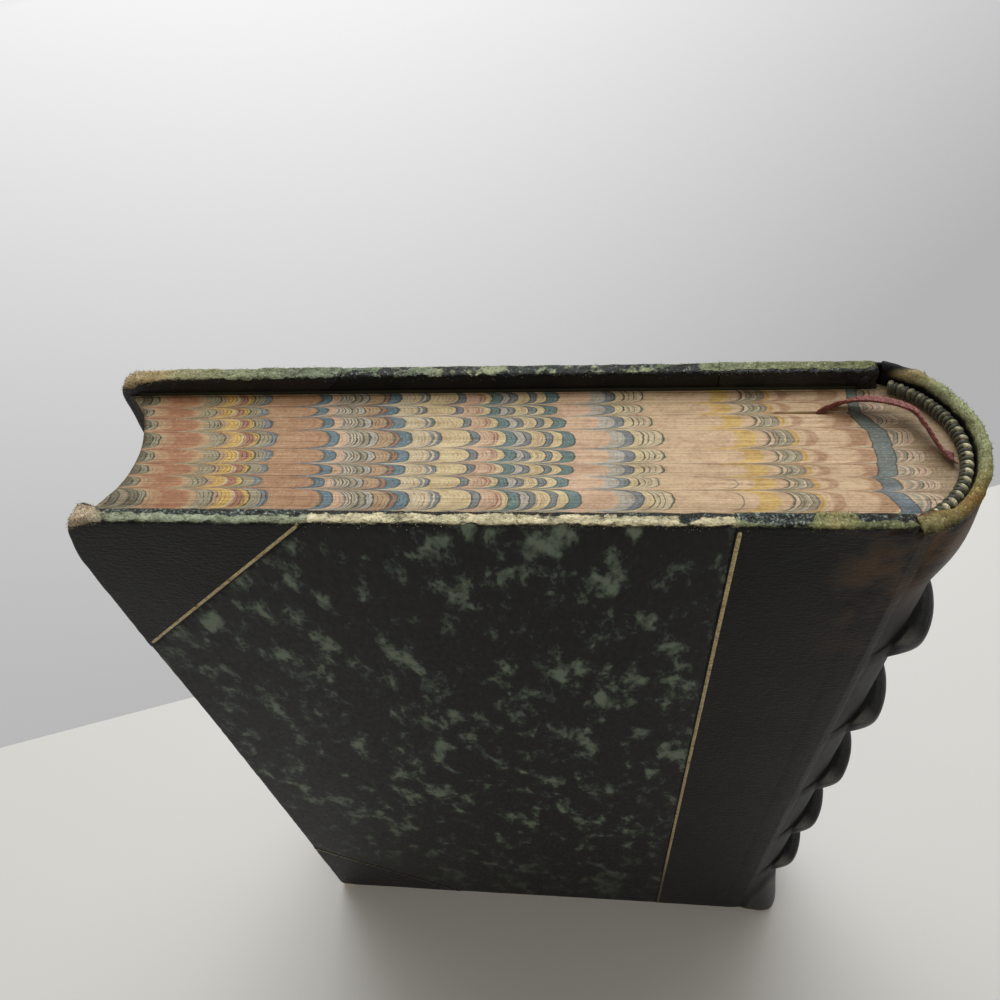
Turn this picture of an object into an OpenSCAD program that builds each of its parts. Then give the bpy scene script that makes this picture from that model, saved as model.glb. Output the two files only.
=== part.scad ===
// Antique half-leather book standing on its tail, with raised bands, worked headbands,
// a ribbon marker and two covers that swing on the joints beside the spine.
// The fore-edge is at low x, the spine at high x, the rear cover at low y and the head at high z.

/* [Covers] */
// Height of a cover from tail to head, mm
board_h = 224.5; // [180:0.5:300]
// Width of a cover from its fore-edge to the joint line, mm
board_w = 139.1; // [110:0.1:200]
// Thickness of the closed book over both covers, mm
total_t = 36; // [30:0.5:46]
// Thickness of one covered board, mm
cover_t = 3.15; // [2.5:0.05:4]
// Thickness of the leather and paper that cover a board, mm
skin_t = 0.3; // [0.2:0.05:0.5]
// Radius of the worn head corner of a cover, mm
corner_r_head = 5; // [1:0.5:8]
// Radius of the worn tail corner of a cover, mm
corner_r_tail = 3; // [1:0.5:8]
// Length of each leg of the leather corners along the edges, mm
corner_leg = 43; // [30:0.5:55]
// Reach of the spine leather over a cover from the joint, mm
flap_w = 27; // [18:0.1:40]
// Width of the turned-in margin left bare round an endpaper, mm
turn_in = 3.6; // [2:0.1:8]

/* [Gilt fillets] */
// Width of a gilt line, mm
fillet_w = 0.9; // [0.5:0.1:1.5]
// Depth of a gilt line let into the leather, mm
fillet_t = 0.1; // [0.05:0.05:0.15]
// Margin of leather between a gilt line and the edge of its leather, mm
fillet_edge = 0.2; // [0.1:0.1:2]

/* [Pages] */
// Projection of the covers beyond the pages at head and tail, mm
head_square = 4.3; // [2.5:0.1:6]
// Projection of the covers beyond the pages at the fore-edge, mm
fore_square = 1.4; // [1:0.1:6]
// Depth of the hollow in the fore-edge, mm
fore_hollow = 6.7; // [3:0.1:9]
// Flat strip of leaves left at each side of the hollow, mm
fore_lip = 0.4; // [0.2:0.1:1.5]
// Thickness of a free endpaper, mm
flyleaf_t = 0.3; // [0.2:0.05:0.5]
// Air between a closed cover and its free endpaper, mm
cover_air = 0.1; // [0.05:0.05:0.4]

/* [Spine] */
// Rise of the rounded spine beyond the joint line, mm
spine_rise = 13.7; // [10:0.1:16]
// Thickness of the spine leather, mm
leather_t = 1; // [0.8:0.1:1.8]
// Thickness of the cloth lining glued to the back of the pages, mm
lining_t = 0.35; // [0.3:0.05:0.8]
// Thickness of the paper tube between the lining and the leather, mm
tube_t = 0.4; // [0.3:0.1:1]
// Length of spine leather turned in at head and tail, mm
cap_turn = 12; // [9:0.5:20]
// Rounding of the rim of a headcap, mm
cap_round = 0.7; // [0.4:0.1:0.8]
// Clear width of the joint between a cover and the spine leather, mm
joint_w = 0.6; // [0.5:0.05:1]

/* [Raised bands] */
// Height of the lowest band above the tail, mm
band_z = 36.3; // [28:0.1:45]
// Distance between one band and the next, mm
band_pitch = 35.6; // [30:0.1:42]
// Number of raised bands
band_n = 5; // [3:1:5]
// Height of a band above the leather round it, mm
band_rise = 3.6; // [2:0.1:4.5]
// Half of the width of a band where it meets the leather, mm
band_half = 3.1; // [2.4:0.1:4]
// Radius of the cord inside a band, mm
cord_r = 1.9; // [1:0.05:2]
// Depth by which a cord is hammered flat onto the tube, mm
cord_flat = 0.25; // [0.1:0.05:0.5]
// Distance behind the spine's centre of the drum that fades the bands towards the joints, mm
band_fade = 8; // [5:0.5:10]
// Depth of a faded band's end below the face of the covers, mm
band_sink = 0.4; // [0.3:0.1:1]

/* [Headbands] */
// Radius of a headband over its silk, mm
hb_r = 1.2; // [0.8:0.05:1.4]
// Radius of the core of a headband, mm
hb_core_r = 0.7; // [0.4:0.05:0.75]
// Gap between a headband and the headcap behind it, mm
hb_gap = 0.1; // [0.1:0.05:0.4]
// Number of turns of the darker silk
hb_turns = 20; // [12:1:26]
// Angle between the ends of a headband and its middle, degrees
hb_angle = 66; // [50:1:68]

/* [Ribbon marker] */
// Width of the ribbon, mm
ribbon_w = 3; // [2:0.5:5]
// Thickness of the ribbon, mm
ribbon_t = 0.3; // [0.2:0.05:0.4]
// Distance of the ribbon's way into the pages from the joint line, mm
ribbon_x = 10.4; // [6:0.1:20]
// Distance of the ribbon from the middle of the pages, mm
ribbon_y = 9.3; // [-10:0.1:10]
// Depth to which the ribbon runs down between the pages, mm
ribbon_depth = 150; // [60:1:200]
// Length of the open slit between the leaves beside the ribbon, mm
slit_l = 25; // [8:1:40]
// Height of the ribbon's arch over the head edge, mm
ribbon_arch = 3.1; // [2:0.1:4]

/* [Hidden] */
$fn = 96;
fore_x = -(board_w + spine_rise + band_rise) / 2;
joint_x = fore_x + board_w;
half_t = total_t / 2;
r_out = (half_t * half_t + spine_rise * spine_rise) / (2 * spine_rise);
arc_x = joint_x + spine_rise - r_out;
r_in = r_out - leather_t;
r_block = r_in - tube_t - lining_t;
page_half = half_t - cover_t - cover_air - flyleaf_t;
page_z0 = head_square;
page_z1 = board_h - head_square;
page_x0 = fore_x + fore_square;
fore_half = page_half - fore_lip;
r_fore = (fore_half * fore_half + fore_hollow * fore_hollow) / (2 * fore_hollow);
y_out = -half_t;
y_in = y_out + cover_t;
flap_x = joint_x - flap_w;
cover_x1 = joint_x - joint_w / 4;
spine_x0 = joint_x + joint_w * 3 / 4;
shoulder_x = joint_x + joint_w / 2;
lining_z0 = cap_turn + 2;
r_band = r_out + band_rise;
r_cord = r_in + cord_r - cord_flat;
fade_y = half_t - band_sink;
fade_x = spine_x0 - arc_x - band_fade;
r_fade = sqrt(fade_y * fade_y + fade_x * fade_x);
r_hb = r_block - hb_gap - hb_r;
ribbon_end_angle = -6.4;
ribbon_end_r = r_hb - hb_r - ribbon_t;
diag = sqrt(2);
far = 5;

// A flat shape in x and z made into a slab between two values of y.
module slab(y0, y1) {
    translate([0, y1, 0])
        rotate([90, 0, 0])
            linear_extrude(height = y1 - y0)
                children();
}

// Outline of a cover in x and z, drawn in by g, with its worn outer corners rounded.
module cover_plan(g) {
    x0 = fore_x + g;
    z0 = g;
    z1 = board_h - g;
    rh = corner_r_head - g;
    rt = corner_r_tail - g;
    translate([x0, z0 + rt])
        square([cover_x1 - x0, z1 - rh - z0 - rt]);
    translate([x0 + rt, z0])
        square([cover_x1 - x0 - rt, rt + far]);
    translate([x0 + rh, z1 - rh - far])
        square([cover_x1 - x0 - rh, rh + far]);
    translate([x0 + rt, z0 + rt])
        circle(r = rt);
    translate([x0 + rh, z1 - rh])
        circle(r = rh);
}

// Triangle that a leather corner covers at the head, with legs of length s.
module head_triangle(s) {
    polygon([[fore_x - far, board_h - s - far], [fore_x + s + far, board_h + far],
        [fore_x - far, board_h + far]]);
}

// The same triangle at the tail.
module tail_triangle(s) {
    polygon([[fore_x - far, s + far], [fore_x - far, -far], [fore_x + s + far, -far]]);
}

// Outline of the endpaper on the inner face of a cover.
module endpaper_plan() {
    translate([fore_x + turn_in, turn_in])
        square([cover_x1 - fore_x - turn_in, board_h - 2 * turn_in]);
}

// Outline of the three gilt lines on a cover.
module fillet_plan() {
    near = corner_leg - fillet_edge * diag;
    intersection() {
        cover_plan(2 * skin_t);
        union() {
            translate([flap_x + fillet_edge, -far])
                square([fillet_w, board_h + 2 * far]);
            difference() {
                head_triangle(near);
                head_triangle(near - fillet_w * diag);
            }
            difference() {
                tail_triangle(near);
                tail_triangle(near - fillet_w * diag);
            }
        }
    }
}

// Skin of the rear cover: outer face, edges and turned-in margins, less the gilt lines.
module rear_skin() {
    difference() {
        slab(y_out, y_in)
            cover_plan(0);
        slab(y_out + skin_t, y_in - skin_t)
            intersection() {
                cover_plan(skin_t);
                translate([fore_x, 0])
                    square([board_w, board_h]);
            }
        slab(y_in - skin_t, y_in + far)
            endpaper_plan();
        slab(y_out - far, y_out + fillet_t)
            fillet_plan();
    }
}

module rear_board_shape() {
    slab(y_out + skin_t, y_in - skin_t)
        cover_plan(skin_t);
}

module rear_side_shape() {
    intersection() {
        rear_skin();
        slab(y_out - 1, y_in + 1)
            difference() {
                translate([fore_x - 1, -1])
                    square([flap_x - fore_x + 1, board_h + 2]);
                head_triangle(corner_leg);
                tail_triangle(corner_leg);
            }
    }
}

module rear_flap_shape() {
    intersection() {
        rear_skin();
        slab(y_out - 1, y_in + 1)
            translate([flap_x, -1])
                square([flap_w + 1, board_h + 2]);
    }
}

module rear_head_shape() {
    intersection() {
        rear_skin();
        slab(y_out - 1, y_in + 1)
            head_triangle(corner_leg);
    }
}

module rear_tail_shape() {
    intersection() {
        rear_skin();
        slab(y_out - 1, y_in + 1)
            tail_triangle(corner_leg);
    }
}

module rear_fillet_shape() {
    slab(y_out, y_out + fillet_t)
        fillet_plan();
}

module rear_endpaper_shape() {
    slab(y_in - skin_t, y_in)
        endpaper_plan();
}

// Plan of the page block in x and y, with rounded back, shoulders and hollow fore-edge.
module page_plan() {
    difference() {
        union() {
            translate([page_x0, -page_half])
                square([shoulder_x + 1 - page_x0, 2 * page_half]);
            intersection() {
                translate([arc_x, 0])
                    circle(r = r_block);
                translate([shoulder_x, -half_t])
                    square([spine_rise + far, total_t]);
            }
        }
        translate([page_x0 + fore_hollow - r_fore, 0])
            circle(r = r_fore);
    }
}

// A ring sector about the spine's centre, made from a profile in radius and height.
module spine_ring(shift) {
    translate([arc_x + shift, 0, 0])
        rotate([0, 0, -88])
            rotate_extrude(angle = 176)
                children();
}

// Space behind the joint, where the spine leather and its linings may be.
module behind_joint() {
    translate([spine_x0, -half_t - far, -far])
        cube([spine_rise + band_rise + far, total_t + 2 * far, board_h + 2 * far]);
}

module band_ring(z) {
    spine_ring(0)
        polygon([[r_out - 0.8, z - band_half - 0.9],
            [r_out, z - band_half - 0.9],
            [r_out + band_rise * 0.06, z - band_half - 0.4],
            [r_out + band_rise * 0.2, z - band_half],
            [r_out + band_rise * 0.55, z - band_half * 0.88],
            [r_out + band_rise * 0.82, z - band_half * 0.66],
            [r_out + band_rise * 0.96, z - band_half * 0.36],
            [r_band, z - band_half * 0.12],
            [r_band, z + band_half * 0.12],
            [r_out + band_rise * 0.96, z + band_half * 0.36],
            [r_out + band_rise * 0.82, z + band_half * 0.66],
            [r_out + band_rise * 0.55, z + band_half * 0.88],
            [r_out + band_rise * 0.2, z + band_half],
            [r_out + band_rise * 0.06, z + band_half + 0.4],
            [r_out, z + band_half + 0.9],
            [r_out - 0.8, z + band_half + 0.9]]);
}

// Drum that trims the bands and, drawn in by the leather, the cords towards the joints.
module fade_drum(inset) {
    translate([arc_x + band_fade, 0, -far])
        cylinder(r = r_fade - inset, h = board_h + 2 * far);
}

// Cord of one band, flat against the tube and faded towards the joints.
module cord_shape(z) {
    intersection() {
        difference() {
            spine_ring(0)
                translate([r_cord, z])
                    circle(r = cord_r, $fn = 48);
            inner_drum(r_in);
        }
        fade_drum(leather_t);
        behind_joint();
    }
}

module inner_drum(r) {
    translate([arc_x, 0, -far])
        cylinder(r = r, h = board_h + 2 * far);
}

// Leather before the cords are let in: the curved sheet with its two turned-in headcaps.
module leather_sheet() {
    spine_ring(0)
        polygon([[r_block, cap_round], [r_block + cap_round * 0.3, cap_round * 0.3],
            [r_block + cap_round, 0], [r_out - cap_round, 0],
            [r_out - cap_round * 0.3, cap_round * 0.3], [r_out, cap_round],
            [r_out, board_h - cap_round], [r_out - cap_round * 0.3, board_h - cap_round * 0.3],
            [r_out - cap_round, board_h], [r_block + cap_round, board_h],
            [r_block + cap_round * 0.3, board_h - cap_round * 0.3],
            [r_block, board_h - cap_round], [r_block, board_h - cap_turn],
            [r_in, board_h - lining_z0], [r_in, lining_z0], [r_block, cap_turn]]);
}

// One end's headband silk: turns of thread from number first, every second one.
module silk(z, first, last) {
    step = 2 * hb_angle / (2 * hb_turns + 1);
    for (i = [first : 2 : last])
        translate([arc_x, 0, z])
            rotate([0, 0, i * step - hb_angle])
                rotate_extrude(angle = step)
                    translate([r_hb, 0])
                        difference() {
                            circle(r = hb_r, $fn = 24);
                            circle(r = hb_core_r, $fn = 24);
                        }
}

module headband_core(z) {
    translate([arc_x, 0, z])
        rotate([0, 0, -hb_angle])
            rotate_extrude(angle = 2 * hb_angle)
                translate([r_hb, 0])
                    circle(r = hb_core_r, $fn = 24);
}

// Ribbon: share of the way from the pages to the headband, sideways offset and height,
// followed by the direction of the ribbon's width at that point.
function ribbon_start() = [joint_x - ribbon_x, ribbon_y, page_z1 + ribbon_t];
function ribbon_end() = [arc_x + ribbon_end_r * cos(ribbon_end_angle),
    ribbon_end_r * sin(ribbon_end_angle), page_z1 + ribbon_t];
function on_way(f, dx, dy, h) = [
    ribbon_start()[0] + f * (ribbon_end()[0] - ribbon_start()[0]) + dx,
    ribbon_start()[1] + f * (ribbon_end()[1] - ribbon_start()[1]) + dy,
    page_z1 + ribbon_t + h * ribbon_arch];
ribbon_keys = [on_way(0, 0, 0, -0.5), ribbon_start(), on_way(0.13, 0.1, 1.9, 0.42),
    on_way(0.3, 0.2, 2.9, 0.78), on_way(0.51, 0.3, 3.4, 0.9), on_way(0.68, 0.4, 3.9, 0.84),
    on_way(0.82, 0.7, 2.3, 0.62), on_way(0.94, 0.1, 0.3, 0.34), ribbon_end(),
    on_way(1.06, 0, 0, -0.1)];
ribbon_sides = [[1, 0, 0], [1, 0, 0], [0.75, 0.5, -0.3], [0.3, 0.66, -0.7], [0.3, 0.66, -0.7],
    [0.3, 0.66, -0.6], [0.1, 0.8, -0.4], [0.05, 0.9, -0.2], [0, 1, 0], [0, 1, 0]];
ribbon_steps = 6;
function unit(v) = v / norm(v);
function spline(a, b, c, d, t) = 0.5 * (2 * b + (c - a) * t
    + (2 * a - 5 * b + 4 * c - d) * t * t + (3 * b - a - 3 * c + d) * t * t * t);
function slope(a, b, c, d, t) = 0.5 * ((c - a) + 2 * (2 * a - 5 * b + 4 * c - d) * t
    + 3 * (3 * b - a - 3 * c + d) * t * t);
function section(p, t, w) = let (s = unit(w - (w * t) * t), n = cross(t, s)) [
    p + s * ribbon_w / 2 + n * ribbon_t / 2, p - s * ribbon_w / 2 + n * ribbon_t / 2,
    p - s * ribbon_w / 2 - n * ribbon_t / 2, p + s * ribbon_w / 2 - n * ribbon_t / 2];
function straight(h) = section([ribbon_start()[0], ribbon_start()[1], h], [0, 0, 1], [1, 0, 0]);
ribbon_rows = concat([straight(page_z1 - ribbon_depth), straight(page_z1 + ribbon_t)],
    [for (k = [1 : len(ribbon_keys) - 3]) for (i = [1 : ribbon_steps])
        let (a = ribbon_keys[k - 1], b = ribbon_keys[k], c = ribbon_keys[k + 1],
            d = ribbon_keys[k + 2], t = i / ribbon_steps)
        section(spline(a, b, c, d, t), unit(slope(a, b, c, d, t)),
            ribbon_sides[k] * (1 - t) + ribbon_sides[k + 1] * t)]);

module ribbon_shape() {
    rows = len(ribbon_rows);
    points = [for (r = ribbon_rows) for (p = r) p];
    sides = [for (r = [0 : rows - 2]) for (j = [0 : 3]) for (h = [0, 1])
        let (a = 4 * r + j, b = 4 * r + (j + 1) % 4)
        h == 0 ? [a, a + 4, b + 4] : [a, b + 4, b]];
    first = [[0, 1, 2], [0, 2, 3]];
    e = 4 * (rows - 1);
    last = [[e, e + 2, e + 1], [e, e + 3, e + 2]];
    polyhedron(points = points, faces = concat(sides, first, last));
}

// The page block is one solid with a thin open slit where the ribbon parts the leaves.
module text_block() {
    color([0.86, 0.78, 0.62])
        difference() {
            translate([0, 0, page_z0])
                linear_extrude(height = page_z1 - page_z0)
                    page_plan();
            translate([joint_x - ribbon_x + ribbon_w - slit_l, ribbon_y - ribbon_t / 2,
                page_z1 - ribbon_depth])
                cube([slit_l, ribbon_t, ribbon_depth + far]);
        }
}

// One free endpaper lies flat on each side of the pages.
module front_flyleaf() {
    color([0.82, 0.74, 0.58])
        translate([page_x0, page_half, page_z0])
            cube([joint_x - page_x0, flyleaf_t, page_z1 - page_z0]);
}

module rear_flyleaf() {
    color([0.82, 0.74, 0.58])
        translate([page_x0, -page_half - flyleaf_t, page_z0])
            cube([joint_x - page_x0, flyleaf_t, page_z1 - page_z0]);
}

// Open cloth glued over the rounded back of the pages.
module spine_lining() {
    color([0.8, 0.76, 0.66])
        intersection() {
            translate([0, 0, lining_z0])
                spine_ring(0)
                    translate([r_block, 0])
                        square([lining_t, board_h - 2 * lining_z0]);
            behind_joint();
        }
}

// Paper tube that carries the bands and the leather.
module spine_tube() {
    color([0.6, 0.5, 0.38])
        intersection() {
            translate([0, 0, lining_z0])
                spine_ring(0)
                    translate([r_block + lining_t, 0])
                        square([tube_t, board_h - 2 * lining_z0]);
            behind_joint();
        }
}

// Cords under the raised bands, flat where they lie on the tube.
module band_cords() {
    color([0.7, 0.6, 0.42])
        for (i = [0 : band_n - 1])
            cord_shape(band_z + i * band_pitch);
}

// Leather of the spine with its raised bands and the headcaps at both ends.
module spine_leather() {
    color([0.14, 0.13, 0.14])
        intersection() {
            difference() {
                union() {
                    leather_sheet();
                    intersection() {
                        union() {
                            for (i = [0 : band_n - 1])
                                band_ring(band_z + i * band_pitch);
                        }
                        fade_drum(0);
                    }
                }
                for (i = [0 : band_n - 1])
                    cord_shape(band_z + i * band_pitch);
            }
            behind_joint();
        }
}

// Headbands: a cord core wound in turn with green and cream silk.
module head_core() {
    color([0.75, 0.68, 0.5])
        headband_core(page_z1 + hb_r);
}

module head_silk_green() {
    color([0.25, 0.42, 0.3])
        silk(page_z1 + hb_r, 1, 2 * hb_turns - 1);
}

module head_silk_cream() {
    color([0.88, 0.85, 0.72])
        silk(page_z1 + hb_r, 0, 2 * hb_turns);
}

module tail_core() {
    color([0.75, 0.68, 0.5])
        headband_core(page_z0 - hb_r);
}

module tail_silk_green() {
    color([0.25, 0.42, 0.3])
        silk(page_z0 - hb_r, 1, 2 * hb_turns - 1);
}

module tail_silk_cream() {
    color([0.88, 0.85, 0.72])
        silk(page_z0 - hb_r, 0, 2 * hb_turns);
}

// Ribbon from under the headband, over the head edge and down between the leaves.
module ribbon_marker() {
    color([0.45, 0.1, 0.1])
        ribbon_shape();
}

// Rear cover.
module rear_board() {
    color([0.5, 0.42, 0.32])
        rear_board_shape();
}

module rear_side_paper() {
    color([0.17, 0.19, 0.18])
        rear_side_shape();
}

module rear_spine_flap() {
    color([0.14, 0.13, 0.14])
        rear_flap_shape();
}

module rear_corner_head() {
    color([0.14, 0.13, 0.14])
        rear_head_shape();
}

module rear_corner_tail() {
    color([0.14, 0.13, 0.14])
        rear_tail_shape();
}

module rear_fillets() {
    color([0.75, 0.6, 0.25])
        rear_fillet_shape();
}

module rear_endpaper() {
    color([0.82, 0.74, 0.58])
        rear_endpaper_shape();
}

// Front cover, the rear cover mirrored to the other side of the pages.
module front_board() {
    color([0.5, 0.42, 0.32])
        mirror([0, 1, 0])
            rear_board_shape();
}

module front_side_paper() {
    color([0.17, 0.19, 0.18])
        mirror([0, 1, 0])
            rear_side_shape();
}

module front_spine_flap() {
    color([0.14, 0.13, 0.14])
        mirror([0, 1, 0])
            rear_flap_shape();
}

module front_corner_head() {
    color([0.14, 0.13, 0.14])
        mirror([0, 1, 0])
            rear_head_shape();
}

module front_corner_tail() {
    color([0.14, 0.13, 0.14])
        mirror([0, 1, 0])
            rear_tail_shape();
}

module front_fillets() {
    color([0.75, 0.6, 0.25])
        mirror([0, 1, 0])
            rear_fillet_shape();
}

module front_endpaper() {
    color([0.82, 0.74, 0.58])
        mirror([0, 1, 0])
            rear_endpaper_shape();
}

text_block();
rear_flyleaf();
front_flyleaf();
spine_lining();
spine_tube();
band_cords();
spine_leather();
head_core();
head_silk_green();
head_silk_cream();
tail_core();
tail_silk_green();
tail_silk_cream();
ribbon_marker();
rear_board();
rear_side_paper();
rear_spine_flap();
rear_corner_head();
rear_corner_tail();
rear_fillets();
rear_endpaper();
front_board();
front_side_paper();
front_spine_flap();
front_corner_head();
front_corner_tail();
front_fillets();
front_endpaper();
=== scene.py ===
# %% [markdown]
# An antique leather book stands closed on its tail: a half-leather binding with paper sides,
# five raised bands, comb-marbled edges, silk headbands and a ribbon marker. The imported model
# gives the frame, and each visible piece is worked out here as a surface in millimetres.

# %% The frame
import bpy
import bmesh
import math
from contextlib import contextmanager
import numpy as np
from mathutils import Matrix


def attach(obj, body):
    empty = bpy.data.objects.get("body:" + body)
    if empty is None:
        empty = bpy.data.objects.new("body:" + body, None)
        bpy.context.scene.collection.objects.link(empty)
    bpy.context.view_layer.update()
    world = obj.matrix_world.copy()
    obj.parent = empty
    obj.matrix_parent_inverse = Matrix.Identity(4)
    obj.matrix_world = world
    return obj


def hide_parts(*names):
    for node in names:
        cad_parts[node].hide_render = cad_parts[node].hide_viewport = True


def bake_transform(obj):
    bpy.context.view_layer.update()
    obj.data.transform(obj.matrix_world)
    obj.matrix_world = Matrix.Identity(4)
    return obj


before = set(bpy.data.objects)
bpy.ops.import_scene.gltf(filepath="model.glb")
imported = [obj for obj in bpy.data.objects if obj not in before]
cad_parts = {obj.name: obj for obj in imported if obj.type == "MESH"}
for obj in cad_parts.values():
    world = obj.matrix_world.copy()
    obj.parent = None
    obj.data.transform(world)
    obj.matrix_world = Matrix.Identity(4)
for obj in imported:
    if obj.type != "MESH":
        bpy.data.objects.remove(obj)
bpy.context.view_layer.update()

# %% [markdown]
# The camera comes first. It looks down on the head of the book from in front of the rear
# cover, as the photographer did, so that the marbled head edge fills the middle of the view.

# %% Camera
camera_data = bpy.data.cameras.new("camera")
camera_data.sensor_width = 36.0
camera_data.lens = 32.69
camera_data.shift_x = 0.0178
camera_data.clip_start, camera_data.clip_end = 0.01, 20
camera = bpy.data.objects.new("camera", camera_data)
camera.location = (0.01246, -0.1009, 0.3398)
camera.rotation_euler = [math.radians(a) for a in (37.49, 5.48, 4.57)]
bpy.context.scene.collection.objects.link(camera)
bpy.context.scene.camera = camera
bpy.context.scene.view_settings.view_transform = "Standard"
print("camera at", tuple(camera.location))

# %% [markdown]
# A binder's measures, in millimetres: the boards, the joint, the round back and the pages.
# They repeat the construction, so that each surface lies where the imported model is. The round
# back is an arc over the book's thickness, and leather, paper tube and lining lie inside it.

# %% Measures
MM = 0.001
board_h, board_w, cover_t, half_t = 224.5, 139.1, 3.15, 18.0
fore_x, spine_rise, band_rise = -78.2, 13.7, 3.6
joint_x = fore_x + board_w
r_out = (half_t ** 2 + spine_rise ** 2) / (2 * spine_rise)
arc_x = joint_x + spine_rise - r_out
r_in, r_block = r_out - 1.0, r_out - 1.75
back_x = 78.0
flap_x, corner_leg, cover_x1, spine_x0 = 33.9, 44.2, 60.75, 61.35
page_z0, page_z1, page_half, page_x0 = 4.3, 220.2, 14.45, -76.8
band_heights = 36.3 + 35.6 * np.arange(5)
band_lift, band_half = 0.85, 3.0
cap_r = 1.2
r_head = r_block - 0.1 - 1.2
print("round back of radius", round(r_out, 2), "mm about x", round(arc_x, 2))


# %% [markdown]
# Small helpers turn a grid of points into a piece. A grid is a function of two parameters
# worked out as whole arrays; neighbours in it become four-sided faces. Paper, leather and
# thread are never quite even, so a smooth random field gives them their small waves.

# %% Grids and pieces
def grid_faces(nu, nv, start=0, wrap_u=False, wrap_v=False, flip=False):
    """Quads between neighbours of an nu by nv grid; a wrapped side joins last to first."""
    u = np.arange(nu if wrap_u else nu - 1)[:, None]
    v = np.arange(nv if wrap_v else nv - 1)[None, :]
    u1, v1 = (u + 1) % nu, (v + 1) % nv
    quads = np.stack([u * nv + v, u1 * nv + v, u1 * nv + v1, u * nv + v1], -1).reshape(-1, 4)
    return start + (quads[:, ::-1] if flip else quads)


def make_piece(name, points, quads, finish, uv=None):
    """A mesh object from points in mm and an array of quads, with one finish on it."""
    mesh = bpy.data.meshes.new(name)
    mesh.vertices.add(len(points))
    mesh.vertices.foreach_set("co", (np.asarray(points) * MM).astype(np.float32).ravel())
    mesh.loops.add(quads.size)
    mesh.loops.foreach_set("vertex_index", quads.astype(np.int32).ravel())
    mesh.polygons.add(len(quads))
    mesh.polygons.foreach_set("loop_start", np.arange(0, quads.size, quads.shape[1]).astype(np.int32))
    mesh.update(calc_edges=True)
    if uv is not None:
        layer = mesh.uv_layers.new(name="pattern")
        layer.data.foreach_set("uv", np.asarray(uv)[quads].astype(np.float32).ravel())
    mesh.validate()
    mesh.polygons.foreach_set("use_smooth", [True] * len(mesh.polygons))
    piece = bpy.data.objects.new(name, mesh)
    bpy.context.scene.collection.objects.link(piece)
    mesh.materials.append(finish)
    return piece


@contextmanager
def opened(piece):
    """The piece's mesh laid open for editing, and put back afterwards."""
    bm = bmesh.new()
    bm.from_mesh(piece.data)
    yield bm
    bm.to_mesh(piece.data)
    bm.free()


def fill_holes(bm, upto=None):
    """Closes every open loop, or only those among the first upto vertices."""
    rims = [e for e in bm.edges if len(e.link_faces) == 1
            and (upto is None or all(v.index < upto for v in e.verts))]
    bmesh.ops.holes_fill(bm, edges=rims, sides=0)


def weld(piece, gap=0.02):
    """Joins vertices that lie together, so that seams close, and turns the faces outward."""
    with opened(piece) as bm:
        bmesh.ops.remove_doubles(bm, verts=bm.verts, dist=gap * MM)
        fill_holes(bm)
        bmesh.ops.recalc_face_normals(bm, faces=bm.faces)
        open_edges = sum(1 for e in bm.edges if len(e.link_faces) != 2)
        volume = bm.calc_volume(signed=True) * 1e9
    print(piece.name, len(piece.data.polygons), "faces,", open_edges, "open edges,",
          round(volume), "mm3")
    return piece


def waves(points, size, seed=0):
    """Smooth random field from -1 to 1: random values at a lattice's corners, blended."""
    q = np.asarray(points, float) / size
    cell = np.floor(q)
    f = q - cell
    f = f * f * (3 - 2 * f)
    total = 0.0
    for corner in np.ndindex(2, 2, 2):
        x, y, z = np.moveaxis(cell + corner, -1, 0)
        value = np.sin(x * 127.1 + y * 311.7 + z * 74.7 + seed * 53.3) * 43758.5453
        share = np.prod(np.where(corner, f, 1 - f), axis=-1)
        total = total + share * (2 * np.modf(np.abs(value))[0] - 1)
    return total


def ease(x, a, b):
    """Smooth step: 0 before a, 1 after b."""
    t = np.clip((np.asarray(x, float) - a) / (b - a), 0, 1)
    return t * t * (3 - 2 * t)


def unit(v):
    """The same directions, each with length 1."""
    return v / np.linalg.norm(v, axis=-1, keepdims=True)


def solid(piece, thickness):
    """Gives a sheet its thickness in mm on the inner side, with the rim closed."""
    m = piece.modifiers.new("thickness", "SOLIDIFY")
    m.thickness = thickness * MM
    m.offset = -1
    m.use_even_offset = False
    return piece


# %% [markdown]
# Finishes are node materials. This small painter keeps their recipes short: it reads the
# object's own coordinates in millimetres, or the piece's own pattern map, and offers the
# few things a finisher mixes: noise, ramps, curves, windows and relief.

# %% The finisher's painter
def tone(text):
    """A colour written as six hex digits, as it looks on screen, in linear light."""
    c = np.array([int(text[i:i + 2], 16) for i in (0, 2, 4)]) / 255
    c = np.where(c <= 0.04045, c / 12.92, ((c + 0.055) / 1.055) ** 2.4)
    return (*[float(v) for v in c], 1.0)


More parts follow.
